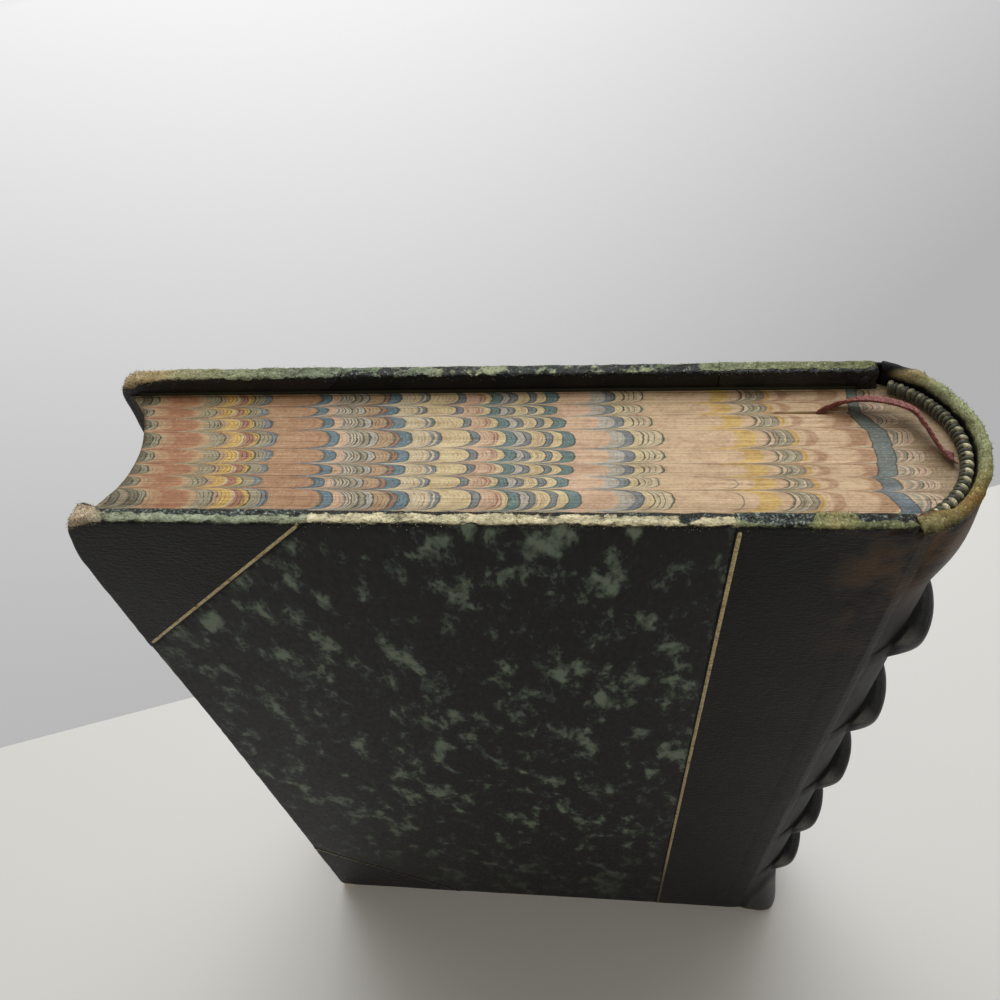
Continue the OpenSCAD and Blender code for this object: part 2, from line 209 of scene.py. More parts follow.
class Finish:
    """One node material painted step by step; lengths are millimetres."""

    def __init__(self, name, roughness=0.6, specular=0.5, pattern=False, **sockets):
        self.mat = bpy.data.materials.new(name)
        self.mat.use_nodes = True
        self.nodes, self.links = self.mat.node_tree.nodes, self.mat.node_tree.links
        self.shader = self.nodes["Principled BSDF"]
        self.shader.inputs["Roughness"].default_value = roughness
        self.shader.inputs["Specular IOR Level"].default_value = specular
        for key, value in sockets.items():
            self.shader.inputs[key.replace("_", " ")].default_value = value
        coords = self.node("ShaderNodeTexCoord")
        scale = self.node("ShaderNodeVectorMath", operation="SCALE")
        self.links.new(coords.outputs["Object"], scale.inputs[0])
        scale.inputs["Scale"].default_value = 1000.0
        self.place = scale.outputs[0]
        self.facing = coords.outputs["Normal"]
        if pattern:
            uv = self.node("ShaderNodeUVMap", uv_map="pattern")
            self.uv = uv.outputs["UV"]
        self.relief = None

    def node(self, kind, **settings):
        """A new node with its settings."""
        n = self.nodes.new(kind)
        for key, value in settings.items():
            setattr(n, key, value)
        return n

    def put(self, socket, value):
        """Sets a socket to a constant, or links it to another node's output."""
        if hasattr(value, "is_linked"):
            self.links.new(value, socket)
        else:
            socket.default_value = value

    def math(self, operation, *values):
        """One step of arithmetic."""
        n = self.node("ShaderNodeMath", operation=operation)
        for socket, value in zip(n.inputs, values):
            self.put(socket, value)
        return n.outputs[0]

    def times(self, a, b):
        """a times b."""
        return self.math("MULTIPLY", a, b)

    def plus(self, a, b):
        """a plus b."""
        return self.math("ADD", a, b)

    def minus(self, a, b):
        """a less b."""
        return self.math("SUBTRACT", a, b)

    def sway(self, value, noise, amount):
        """The value moved up and down by a noise from 0 to 1: value + amount (noise - 0.5)."""
        return self.math("MULTIPLY_ADD", self.minus(noise, 0.5), amount, value)

    def parts(self, vector=None):
        """x, y and z of a vector, or of the place itself in mm."""
        n = self.node("ShaderNodeSeparateXYZ")
        self.put(n.inputs[0], self.place if vector is None else vector)
        return n.outputs[0], n.outputs[1], n.outputs[2]

    def join(self, x, y, z):
        """A vector from its three parts."""
        n = self.node("ShaderNodeCombineXYZ")
        for socket, value in zip(n.inputs, (x, y, z)):
            self.put(socket, value)
        return n.outputs[0]

    def stretch(self, vector, factors):
        """A vector with each part multiplied by its own factor."""
        n = self.node("ShaderNodeVectorMath", operation="MULTIPLY")
        self.put(n.inputs[0], vector)
        n.inputs[1].default_value = factors
        return n.outputs[0]

    def noise(self, size, detail=2.0, rough=0.5, vector=None, wobble=0.0, seed=0.0):
        """Noise whose blotches are about size mm across, from 0 to 1."""
        n = self.node("ShaderNodeTexNoise", noise_dimensions="4D")
        self.put(n.inputs["Vector"], self.place if vector is None else vector)
        n.inputs["W"].default_value = seed
        n.inputs["Scale"].default_value = 1.0 / size
        n.inputs["Detail"].default_value = detail
        n.inputs["Roughness"].default_value = rough
        n.inputs["Distortion"].default_value = wobble
        return n.outputs[0]

    def pebbles(self, size):
        """Rounded cells about size mm across: the distance from each cell's middle."""
        n = self.node("ShaderNodeTexVoronoi", feature="SMOOTH_F1")
        self.put(n.inputs["Vector"], self.place)
        n.inputs["Scale"].default_value = 1.0 / size
        return n.outputs["Distance"]

    def remap(self, value, a, b, to0=0.0, to1=1.0, smooth=True):
        """The value's way from a to b turned into a way from to0 to to1, held at both ends."""
        n = self.node("ShaderNodeMapRange", clamp=True)
        if smooth:
            n.interpolation_type = "SMOOTHSTEP"
        self.put(n.inputs["Value"], value)
        n.inputs["From Min"].default_value, n.inputs["From Max"].default_value = a, b
        n.inputs["To Min"].default_value, n.inputs["To Max"].default_value = to0, to1
        return n.outputs["Result"]

    def window(self, value, a, b, soft):
        """1 between a and b, fading to 0 over the width soft on either side."""
        rise = self.remap(value, a - soft, a + soft)
        fall = self.remap(value, b - soft, b + soft, 1.0, 0.0)
        return self.times(rise, fall)

    def ramp(self, value, stops, interpolation="LINEAR"):
        """Colour ramp; stops are (place from 0 to 1, colour)."""
        n = self.node("ShaderNodeValToRGB")
        n.color_ramp.interpolation = interpolation
        elements = n.color_ramp.elements
        elements[0].position, elements[0].color = stops[0]
        elements[1].position, elements[1].color = stops[-1]
        for place, colour in stops[1:-1]:
            e = elements.new(place)
            e.color = colour
        self.put(n.inputs["Fac"], value)
        return n.outputs["Color"]

    def curve(self, value, points, low, high):
        """A drawn curve: points (where, height); heights run from low to high."""
        xs = [p[0] for p in points]
        n = self.node("ShaderNodeFloatCurve")
        line = n.mapping.curves[0]
        spots = [((x - xs[0]) / (xs[-1] - xs[0]), (h - low) / (high - low)) for x, h in points]
        line.points[0].location, line.points[1].location = spots[0], spots[-1]
        for spot in spots[1:-1]:
            line.points.new(*spot)
        for p in line.points:
            p.handle_type = "VECTOR"
        n.mapping.update()
        self.put(n.inputs["Value"], self.remap(value, xs[0], xs[-1], smooth=False))
        return self.remap(n.outputs[0], 0.0, 1.0, low, high, smooth=False)

    def mix(self, factor, a, b, blend="MIX"):
        """Two colours mixed: a where the factor is 0, b where it is 1."""
        n = self.node("ShaderNodeMix", data_type="RGBA", blend_type=blend)
        self.put(n.inputs["Factor"], factor)
        self.put(n.inputs[6], a)
        self.put(n.inputs[7], b)
        return n.outputs[2]

    def bump(self, height, depth, strength=1.0):
        """Relief: height from 0 to 1 stands for depth mm."""
        n = self.node("ShaderNodeBump")
        n.inputs["Strength"].default_value = strength
        n.inputs["Distance"].default_value = depth * MM
        self.put(n.inputs["Height"], height)
        if self.relief is not None:
            self.links.new(self.relief, n.inputs["Normal"])
        self.relief = n.outputs[0]

    def done(self, colour, roughness=None):
        """Joins the colour, the roughness and the relief to the shader; gives the material."""
        self.put(self.shader.inputs["Base Color"], colour)
        if roughness is not None:
            self.put(self.shader.inputs["Roughness"], roughness)
        if self.relief is not None:
            self.links.new(self.relief, self.shader.inputs["Normal"])
        return self.mat


print("painter ready")

# %% [markdown]
# The edges of the leaves are comb-marbled. A marbler lays bands of colour across the bath
# and draws a comb through them: each tooth drags the colours along its own line, so that
# between two teeth every band bows out as a crescent with long fine tails. The same rule
# makes it here: a point's colour is that of the band laid at (place along the edge + drag),
# where the drag is largest on a tooth's line. The bands are a list of colours with the
# place where each one ends.

# %% Marbled edge
inks = {
    "olive": "746c57", "moss": "4f523f", "palm": "968b72", "tan": "b59873", "salmon": "b08a65",
    "brick": "a67652", "sage": "a0977a", "ochre": "d0ad5b", "cream": "cfbf9c", "russet": "a5775a",
    "slate": "7b8283", "ink": "50534f", "steel": "657e88", "pink": "d0b091", "mauve": "8f8078",
    "straw": "d4c194", "teal": "66807d", "mist": "b5b0a2", "rose": "9e6f5b", "blush": "d0b89c",
    "peach": "d0b490", "yellow": "cfae66", "gold": "c6a45e", "clay": "b3906e", "beige": "ab9678",
    "fog": "9f9d8b",
}
laid_bands = [
    ("olive", -75.2), ("moss", -74.8), ("palm", -73.7), ("moss", -73.3), ("olive", -72.2),
    ("moss", -71.8), ("palm", -70.5), ("moss", -70.1), ("olive", -68.7), ("moss", -68.3),
    ("palm", -67.3), ("moss", -67.0), ("tan", -65.6), ("salmon", -64.2), ("brick", -58.6),
    ("tan", -57.4), ("sage", -54.9), ("moss", -54.6), ("tan", -53.2), ("ochre", -51.2),
    ("cream", -50.8), ("russet", -49.1), ("ochre", -48.2), ("moss", -47.9), ("sage", -46.1),
    ("slate", -45.0), ("ink", -44.7),
    ("salmon", -40.4), ("russet", -40.2), ("salmon", -36.8), ("russet", -36.6), ("salmon", -35.2),
    ("ink", -34.9), ("steel", -33.4), ("ink", -33.1), ("pink", -31.3), ("slate", -31.0),
    ("cream", -30.7), ("slate", -30.4), ("cream", -30.1), ("ink", -29.8), ("cream", -29.5),
    ("slate", -29.2), ("cream", -28.9), ("ink", -28.5), ("sage", -27.6), ("ink", -27.3),
    ("mist", -26.3), ("ink", -26.0), ("tan", -23.2), ("ink", -22.9), ("russet", -22.3),
    ("ink", -22.0), ("steel", -20.2), ("ink", -19.8), ("cream", -17.6), ("clay", -17.45),
    ("cream", -16.4), ("slate", -15.9), ("cream", -15.5), ("slate", -14.9), ("ink", -14.6),
    ("straw", -9.4), ("ink", -9.1), ("slate", -8.1), ("ink", -7.85), ("pink", -5.2),
    ("rose", -5.0), ("pink", -4.6), ("rose", -4.4), ("straw", -3.2), ("ink", -2.95),
    ("teal", -1.4), ("ink", -1.1), ("mist", 0.1), ("ink", 0.35), ("slate", 1.15),
    ("ink", 1.4), ("straw", 2.6), ("clay", 2.75), ("straw", 3.7), ("ink", 3.95),
    ("slate", 4.9), ("ink", 5.15), ("straw", 6.7), ("ink", 6.95), ("teal", 8.7),
    ("ink", 9.0), ("pink", 15.0), ("mist", 17.3), ("slate", 18.8), ("ink", 19.1),
    ("cream", 19.4), ("straw", 20.5), ("moss", 20.8), ("cream", 21.5), ("moss", 21.65),
    ("cream", 22.4), ("moss", 22.55), ("cream", 23.7), ("moss", 24.05), ("peach", 36.6),
    ("yellow", 39.9), ("peach", 41.6), ("moss", 41.85), ("blush", 42.4), ("olive", 42.6),
    ("sage", 43.05), ("olive", 43.25), ("sage", 43.7), ("fog", 43.95), ("cream", 44.3),
    ("olive", 44.5), ("sage", 45.1), ("mauve", 45.6), ("gold", 46.6), ("peach", 48.0),
    ("clay", 49.6), ("peach", 55.0), ("clay", 58.0), ("peach", 60.6), ("fog", 61.0),
    ("blush", 61.6), ("mauve", 61.85), ("fog", 62.2), ("olive", 62.4), ("blush", 63.0),
    ("olive", 63.2), ("blush", 63.9), ("mauve", 64.15), ("blush", 64.8), ("beige", 76.0),
]
soft_after = {"brick": 0.9, "tan": 0.5, "peach": 0.8, "salmon": 0.5, "pink": 0.35, "yellow": 0.7,
              "clay": 0.5, "gold": 0.25, "ochre": 0.4, "beige": 0.5}
teeth = [15.2, 11.76, 9.01, 5.76, 1.35, -2.09, -4.77, -7.57, -12.2, -16.0]
row_shift = [-3.2, -3.3, -1.7, 0.0, 0.0, -0.1, -0.9, 1.3, 1.3]
slant = [-0.6, -0.3, -0.2, 0.0, 0.9, 1.3, 2.9, 1.1, 1.1]
arcs_held = [(-76, 0.9), (-67, 0.9), (-65.5, 0.05), (-58, 0.05), (-57, 0.9), (-45, 0.95), (-44, 0.15),
             (-36, 0.15), (-35, 0.5), (-22, 0.7), (-20, 0.45), (-13, 0.4), (-9, 0.55), (8.5, 0.55),
             (9.5, 0.05), (14.5, 0.08), (16, 0.35), (24, 0.45), (25, 0.0), (41, 0.0), (42, 0.5),
             (45.5, 0.45), (47.5, 0.2), (52, 0.06), (60, 0.1), (61, 0.5), (65, 0.45), (67, 0.12), (78, 0.1)]
vein_course = [(-16.0, 63.9), (-11.35, 61.9), (-9.3, 60.5), (-5.2, 59.2), (-0.9, 59.8),
               (4.9, 59.2), (8.9, 56.4), (13.1, 56.4), (15.2, 56.6)]


def band_ramps(f, where, bands, per_ramp=14):
    """The laid bands as a chain of colour ramps, read at where.

    Each band has a stop near its start and one before its end, so that it is even inside
    and runs into the next over the length given in soft_after.
    """
    colour, start = None, bands[0][1] - 3.0
    for first in range(0, len(bands), per_ramp):
        group = bands[first:first + per_ramp]
        end = group[-1][1]
        span, stops, last = end - start, [], start
        for ink, stop in group:
            most = 0.3 * (stop - last)
            soft = min(soft_after.get(ink, 0.07), most)
            stops.append(((last - start + min(0.06, most)) / span, tone(inks[ink])))
            stops.append(((stop - start - soft) / span, tone(inks[ink])))
            last = stop
        part = f.ramp(f.remap(where, start, end, smooth=False), stops)
        colour = part if colour is None else f.mix(f.math("GREATER_THAN", where, start), colour, part)
        start = end
    return colour


def per_row(f, row, values):
    """One of nine colours, by the number of the row between two teeth."""
    stops = [(i / 9, value) for i, value in enumerate(values[::-1])]
    return f.ramp(f.math("DIVIDE", f.plus(row, 0.5), 9.0), stops, "CONSTANT")


def combed(f, along, across):
    """Where a point's colour was laid, how far it was dragged, and its distance from a tooth.

    The drag is 0.55 of the row's width times one minus the height of a circle; beside a
    tooth a fine tail adds up to 4.2 mm, which fades over 0.2 mm.
    """
    tooth = f.curve(across, [(y, i) for i, y in enumerate(teeth[::-1])], 0.0, 9.0)
    row = f.math("FLOOR", tooth)
    inside = f.math("FRACT", tooth)
    width = f.times(per_row(f, row, [(w / 5,) * 3 + (1.0,) for w in -np.diff(teeth)]), 5.0)
    moves = [((s + 4) / 8, (t + 4) / 12, 0.0, 1.0) for s, t in zip(row_shift, slant)]
    shift, lean, _ = f.parts(per_row(f, row, moves))
    offset = f.minus(f.times(shift, 8.0), 4.0)
    lean = f.minus(f.times(lean, 12.0), 4.0)
    offset = f.math("MULTIPLY_ADD", lean, f.remap(along, 24.0, 38.0), offset)
    middle = f.math("ABSOLUTE", f.math("MULTIPLY_ADD", inside, 2.0, -1.0))
    circle = f.math("SQRT", f.minus(1.0, f.times(f.math("POWER", middle, 2.05), 0.985)))
    from_tooth = f.times(f.minus(1.0, middle), f.times(width, 0.5))
    tail = f.times(f.math("EXPONENT", f.math("DIVIDE", from_tooth, -0.2)), 4.2)
    drag = f.math("MULTIPLY_ADD", f.minus(1.0, circle), f.times(width, 0.55), tail)
    return f.plus(f.minus(along, offset), drag), drag, from_tooth


def fine_arcs(f, laid):
    """Thin lines inside the bands, where the bath held them: how dark they are."""
    arcs = f.noise(2.2, 2.0, 0.6, vector=f.uv, seed=15.0)
    arcs = f.math("SINE", f.math("MULTIPLY_ADD", arcs, 5.0, f.times(laid, 4.3)))
    arcs = f.remap(f.math("ABSOLUTE", arcs), 0.1, 0.5, 1.0, 0.0)
    patchy = f.remap(f.noise(3.2, 3.0, 0.6, vector=f.uv, seed=11.0), 0.36, 0.56, 0.2, 1.0)
    return f.times(arcs, f.times(f.curve(laid, arcs_held, 0.0, 1.0), patchy))


def blue_vein(f, along, across, drag, small_wave):
    """The blue vein that crosses the rows near the back: how strong it is, and its colour."""
    lag = f.times(drag, f.remap(across, -3.0, -6.0, 0.05, 0.45))
    bend = f.times(f.minus(f.noise(5.0, 2.0, vector=f.uv, seed=9.0), 0.5), 0.8)
    bend = f.plus(bend, f.times(small_wave, 0.5))
    off = f.minus(f.plus(along, lag), f.curve(across, vein_course, 50.0, 66.0))
    off = f.math("ABSOLUTE", f.plus(off, bend))
    off = f.plus(off, f.remap(across, 6.5, 10.5, 0.0, 0.65))
    streak = f.noise(1.0, 3.0, 0.65, vector=f.stretch(f.uv, (0.25, 2.6, 1.0)), seed=5.0)
    near_side = f.remap(across, -3.0, -11.0)
    colour = f.mix(streak, f.mix(near_side, tone("56696a"), tone("4b6072")),
                   f.mix(near_side, tone("7f8b86"), tone("758994")))
    colour = f.mix(f.window(off, 1.34, 1.8, 0.12), colour, tone("4c4f49"))
    return f.times(f.remap(off, 1.5, 1.68, 1.0, 0.0), 0.95), colour


def leaf_ends(f, colour):
    """The ends of the leaves in the colour and the relief: fine lines, flecks and a mottle."""
    leaves = f.noise(1.0, 3.0, 0.65, vector=f.stretch(f.uv, (0.035, 4.2, 1.0)), seed=1.0)
    flecks = f.noise(0.5, 3.0, 0.75, vector=f.stretch(f.uv, (0.7, 1.6, 1.0)), seed=8.0)
    mottle = f.noise(1.9, 4.0, 0.7, vector=f.stretch(f.uv, (0.6, 1.2, 1.0)), seed=12.0)
    colour = f.mix(f.remap(mottle, 0.42, 0.66, 0.0, 0.34), colour, tone("b08c70"), "MULTIPLY")
    colour = f.mix(f.remap(mottle, 0.45, 0.3, 0.0, 0.22), colour, tone("c9b48d"))
    colour = f.mix(f.remap(leaves, 0.36, 0.7, 0.0, 0.45), colour, tone("8a6a4c"), "MULTIPLY")
    colour = f.mix(f.remap(flecks, 0.5, 0.74, 0.0, 0.6), colour, tone("a8785c"), "MULTIPLY")
    colour = f.mix(f.remap(flecks, 0.44, 0.26, 0.0, 0.4), colour, tone("f1dcb8"), "SCREEN")
    f.bump(leaves, 0.06, 0.9)
    f.bump(flecks, 0.03, 0.6)
    return colour, leaves


def marbled(name, leaf=None):
    """Comb marbling on the piece's own map: first number along the edge, second across.

    A single leaf has no map: its head edge reads x and y. Faces that look sideways, which
    show only when a cover is open, are plain paper.
    """
    f = Finish(name, roughness=0.55, specular=0.3, pattern=leaf is None)
    if leaf:
        f.uv = f.join(*f.parts()[:2], 0.0)
    along, across, _ = f.parts(f.uv)
    across = f.sway(across, f.noise(16.0, 1.0, 0.4, vector=f.uv, seed=3.0), 1.1)
    laid, drag, from_tooth = combed(f, along, across)
    broad_wave = f.times(f.minus(f.noise(2.6, 2.0, 0.6, vector=f.uv), 0.5), 1.3)
    small_wave = f.times(f.minus(f.noise(0.7, 2.0, 0.6, vector=f.uv, seed=4.0), 0.5), 0.55)
    laid = f.plus(laid, f.plus(broad_wave, small_wave))
    colour = band_ramps(f, laid, laid_bands)
    colour = f.mix(fine_arcs(f, laid), colour, tone("5b5b4b"), "MULTIPLY")
    lone_line = f.times(f.window(laid, 33.6, 33.85, 0.08), f.math("LESS_THAN", across, -4.6))
    colour = f.mix(f.times(lone_line, 0.75), colour, tone(inks["ink"]))
    strength, vein_colour = blue_vein(f, along, across, drag, small_wave)
    colour = f.mix(strength, colour, vein_colour)
    line = f.math("EXPONENT", f.math("DIVIDE", from_tooth, -0.09))
    line = f.times(line, f.remap(f.noise(9.0, 2.0, vector=f.uv, seed=2.0), 0.35, 0.62))
    colour = f.mix(f.times(line, 0.6), colour, tone("5f5546"))
    colour, leaves = leaf_ends(f, colour)
    sideways = f.math("GREATER_THAN", f.math("ABSOLUTE", f.parts(f.facing)[1]), 0.9)
    colour = f.mix(sideways, colour, tone(leaf or "a8966f"))
    return f.done(colour, f.remap(leaves, 0.2, 0.8, 0.45, 0.7))


edge_finish = marbled("marbled_edge")
leaf_finish = marbled("flyleaf", leaf="3a3a2c")
print("marbled edge:", len(laid_bands), "laid bands,", len(edge_finish.node_tree.nodes), "nodes")

# %% [markdown]
# The pages are one block with a rounded back and a hollow fore-edge. Each point is placed by
# s, from the fore-edge to the back, and t, from side to side. The head and tail are two such
# grids, and a wall joins their borders. Bundles of leaves stand a hair higher or lower, and
# the ribbon parts them in a thin slit.

# %% Page block
def page_plan(s, t):
    """x and y on the block's plan: s runs from the hollow to the round back, t from side to side.

    The hollow and the back are arcs, and the block narrows to its shoulders at the joint.
    """
    fore_half, hollow = page_half - 0.4, 6.7
    r_fore = (fore_half ** 2 + hollow ** 2) / (2 * hollow)
    y0 = t * page_half
    front = page_x0 + np.maximum(0, hollow - r_fore + np.sqrt(np.maximum(r_fore ** 2 - y0 ** 2, 0)))
    shoulder = math.sqrt(r_block ** 2 - (joint_x + 0.3 - arc_x) ** 2)
    back = arc_x + np.sqrt(r_block ** 2 - (t * shoulder) ** 2)
    front = front + 1.3 * ease(t, 0.3, 1.0)
    x = front + (back - front) * s
    y = t * (page_half + (shoulder - page_half) * ease(x, joint_x - 1.5, joint_x + 0.3))
    return x, y


def page_block():
    """The block's points, its quads and the map of its marbling: head, tail and the wall round them."""
    slit_y, slit_x0, slit_x1 = 9.35, 40.0, 52.2
    t = np.linspace(-1, 1, 121)
    beside_slit = slit_y + np.array([-0.35, -0.2, -0.1, 0, 0.1, 0.2, 0.35])
    t = np.unique(np.concatenate([t, beside_slit / page_half]))
    s = np.linspace(0, 1, 160)
    S, T = np.meshgrid(s, t, indexing="ij")
    x, y = page_plan(S, T)
    flat = np.stack([x * 0.02, y * 2.0, y * 0], -1)
    broad = waves(np.stack([x, y, y * 0], -1), 9.0, 2)
    relief = 0.05 * waves(flat, 1.0, 4) + 0.09 * waves(flat, 5.0, 9) + 0.05 * broad
    slit = np.exp(-((y - slit_y) / 0.13) ** 2) * ease(x, slit_x0, slit_x0 + 12)
    slit = slit * (1 - ease(x, slit_x1 - 1, slit_x1 + 1))
    head = np.stack([x, y, page_z1 + relief - 1.6 * slit - 0.03], -1)
    tail = np.stack([x, y, page_z0 - relief + 0.03], -1)
    number = np.arange(S.size).reshape(S.shape)
    border = np.concatenate([number[:, 0], number[-1, 1:], number[-2::-1, -1], number[0, -2:0:-1]])
    k = np.linspace(0, 1, 30)[:, None, None]
    top, low = head.reshape(-1, 3)[border], tail.reshape(-1, 3)[border]
    wall = top[None] * (1 - k) + low[None] * k
    n = S.size
    points = np.concatenate([head.reshape(-1, 3), tail.reshape(-1, 3), wall.reshape(-1, 3)])
    quads = np.concatenate([grid_faces(len(s), len(t)), grid_faces(len(s), len(t), n, flip=True),
                            grid_faces(30, len(border), 2 * n, wrap_v=True)])
    ends = np.stack([x, y], -1).reshape(-1, 2)
    sides = np.stack([wall[..., 2] * 0.92 - 120.0, wall[..., 1]], -1).reshape(-1, 2)
    return points, quads, np.concatenate([ends, ends * [1, -1] + [3.0, 0], sides])


page_points, page_quads, page_map = page_block()
pages = weld(make_piece("page_block", page_points, page_quads, edge_finish, uv=page_map))
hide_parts("text_block")
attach(pages, "book_block")

# %% [markdown]
# The covers are thin boards with every edge rounded. One surface runs over the outer face,
# round the edges and onto the inner margin, as loops drawn in step by step from the outline.
# It is cut into the spine flap, the corners and the paper side, and each gets its thickness.

# %% Cover surface
def outline(n, corners=(1.0, 3.0, 5.0, 1.0)):
    """n points and outward directions round a cover in x and z, with four rounded corners."""
    x0, x1, z0, z1 = fore_x, cover_x1, 0.0, board_h
    spots = [(x1, z0, corners[0], -90), (x1, z1, corners[3], 0),
             (x0, z1, corners[2], 90), (x0, z0, corners[1], 180)]
    points, normals = [], []
    for x, z, r, a0 in spots:
        a = np.radians(a0 + np.linspace(0, 90, 16))
        centre = np.array([x + (-r if x == x1 else r), z + (r if z == z0 else -r)])
        way = np.stack([np.cos(a), np.sin(a)], -1)
        points.append(centre + r * way)
        normals.append(way)
    points, normals = np.concatenate(points), np.concatenate(normals)
    points = np.concatenate([points, points[:1]])
    normals = np.concatenate([normals, normals[:1]])
    run = np.concatenate([[0], np.cumsum(np.linalg.norm(np.diff(points, axis=0), axis=1))])
    at = np.linspace(0, run[-1], n, endpoint=False)
    rim, out = (np.stack([np.interp(at, run, a[:, i]) for i in (0, 1)], -1) for a in (points, normals))
    return rim, unit(out)


def wear(points, side):
    """Handling, as lengths in mm times smooth steps or bells in x and z.

    The faces wave, the ends fray, and the fore-edge bows out towards the head. The rear cover's
    head corner is blunt and swollen, and a small lump stands where its head edge tore.
    """
    p = points.copy()
    x, y, z = p[..., 0], p[..., 1], p[..., 2]
    flat = np.stack([x, z, x * 0], -1)
    ripple = 0.07 * waves(flat, 28.0, 3) + 0.03 * waves(flat, 7.0, 5)
    p[..., 1] += side * ripple * ease(half_t - np.abs(y), 4.0, 0.0)
    edge = ease(np.abs(z - board_h / 2), board_h / 2 - 1.5, board_h / 2)
    rough = 0.16 * waves(p, 1.1, 7) + 0.2 * waves(p, 3.7, 8)
    p[..., 2] += edge * np.sign(z - board_h / 2) * (rough - 0.1)
    fore = ease(x, fore_x + 1.5, fore_x)
    p[..., 0] += fore * (0.1 + 0.12 * waves(p, 2.3, 6))
    p[..., 0] -= 0.75 * ease(x, 30.0, fore_x) * np.exp(-((z - 196.0) / 32.0) ** 2)
    if side > 0:
        p[..., 2] -= 0.4 * ease(x, -62.0, fore_x) * ease(z, board_h - 9.0, board_h)
    if side < 0:
        worn = ease(z, board_h - 12.5, board_h) * ease(x, fore_x + 11.0, fore_x)
        p[..., 0] += 1.7 * worn
        p[..., 2] -= 0.3 * worn
        inner = ease(half_t - np.abs(y), 1.2, 3.0)
        swell = ease(z, board_h - 6.0, board_h) * ease(x, fore_x + 9.0, fore_x + 3.0)
        p[..., 1] += swell * inner * (0.8 + 0.35 * waves(p, 1.7, 11))
        p[..., 2] += swell * (0.95 + 0.45 * waves(p, 1.3, 12))
        blob = np.exp(-((x - 48.8) / 2.3) ** 2) * ease(z, board_h - 3.0, board_h)
        p[..., 2] += blob * (0.25 + 0.25 * waves(p, 1.2, 14))
        p[..., 1] -= 0.25 * blob * ease(half_t - np.abs(y), 1.5, 0.0)
    p[..., 2] = np.maximum(p[..., 2], 0.0)
    return p


def cover_surface(side, draw_in=0.0, inner_margin=4.4, n=720):
    """Loops from the middle of the outer face, round the edge, to the inner margin."""
    rim, out = outline(n)
    e, thick = 0.85, cover_t - 2 * draw_in
    a = np.radians(np.linspace(0, 90, 7))
    inset = list(e * (1 - np.sin(a)))
    depth = list(e * (1 - np.cos(a)))
    inset += [0.0] * 3 + list(e * (1 - np.cos(a)))
    depth += list(np.linspace(e, thick - e, 5)[1:-1]) + list(thick - e * (1 - np.sin(a)))
    if inner_margin:
        inset += [1.6, 2.6, 3.5, 3.75, inner_margin]
        depth += [thick, thick, thick, thick - 0.32, thick - 0.34]
    centre = np.array([(fore_x + cover_x1) / 2, board_h / 2])
    loops = []
    first = rim - out * (inset[0] + draw_in)
    for k in np.linspace(0.02, 1.0, 40)[:-1] ** 0.8:
        loops.append((centre + (first - centre) * k, 0.0))
    for i, d in zip(inset, depth):
        loops.append((rim - out * (i + draw_in), d))
    if not inner_margin:
        last = loops[-1][0]
        for k in np.linspace(1.0, 0.02, 30)[1:]:
            loops.append((centre + (last - centre) * k, thick))
    grid = np.stack([np.stack([q[:, 0], np.full(len(q), side * (half_t - draw_in - d)), q[:, 1]], -1)
                     for q, d in loops])
    return wear(grid, side)


def cut(piece, point, direction):
    """Cuts a piece with a plane in x and z and drops what lies on the direction's side."""
    with opened(piece) as bm:
        bmesh.ops.bisect_plane(bm, geom=bm.verts[:] + bm.edges[:] + bm.faces[:], dist=1e-7,
                               plane_co=(point[0] * MM, 0, point[1] * MM),
                               plane_no=(direction[0], 0, direction[1]), clear_outer=True)


def cover_piece(name, side, cuts, finish, draw_in, thickness):
    """The part of a cover's surface that its cuts leave, drawn in under its neighbours by draw_in."""
    grid = cover_surface(side, draw_in)
    nu, nv = grid.shape[:2]
    quads = grid_faces(nu, nv, wrap_v=True, flip=side > 0)
    piece = make_piece(name, grid.reshape(-1, 3), quads, finish)
    with opened(piece) as bm:
        bm.verts.ensure_lookup_table()
        fill_holes(bm, upto=nv)
        bmesh.ops.recalc_face_normals(bm, faces=bm.faces)
    for point, direction in cuts:
        cut(piece, point, direction)
    return solid(piece, thickness)


head_cut = ((fore_x + corner_leg, board_h), (-1, 1))
tail_cut = ((fore_x + corner_leg, 0.0), (-1, -1))
keep_head = (head_cut[0], (1, -1))
keep_tail = (tail_cut[0], (1, 1))
print("leather corners with legs of", corner_leg, "mm")

# %% [markdown]
# The leather was dyed almost black on its grain side, but its core is pale and fibrous.
# Where the edges have been rubbed for a century the dyed skin is gone and sage-green suede
# shows, with cream, ochre and tan where the wear is deepest. The wear is painted from the
# distance to the outer edge of a board's head and tail, in lengths that change along it.

# %% Leather and worn edges
def edge_place(f):
    """x, depth below the cover's outer face, and nearness to the head or tail edge, in mm."""
    x, y, z = f.parts()
    depth = f.minus(half_t, f.math("ABSOLUTE", y))
    from_end = f.minus(board_h / 2, f.math("ABSOLUTE", f.minus(z, board_h / 2)))
    return x, depth, from_end


def along_book(f, colours):
    """Colours along the book, each at its own x, from the fore-edge to the round back."""
    stops = [((x - fore_x) / (back_x - fore_x), tone(colour)) for x, colour in colours]
    return f.ramp(f.remap(f.parts()[0], fore_x, back_x, smooth=False), stops)


def from_back_centre(f):
    """Distance from the line about which the back is rounded, in mm."""
    x, y, _ = f.parts()
    x = f.math("POWER", f.minus(x, arc_x), 2.0)
    return f.math("SQRT", f.plus(x, f.math("POWER", y, 2.0)))


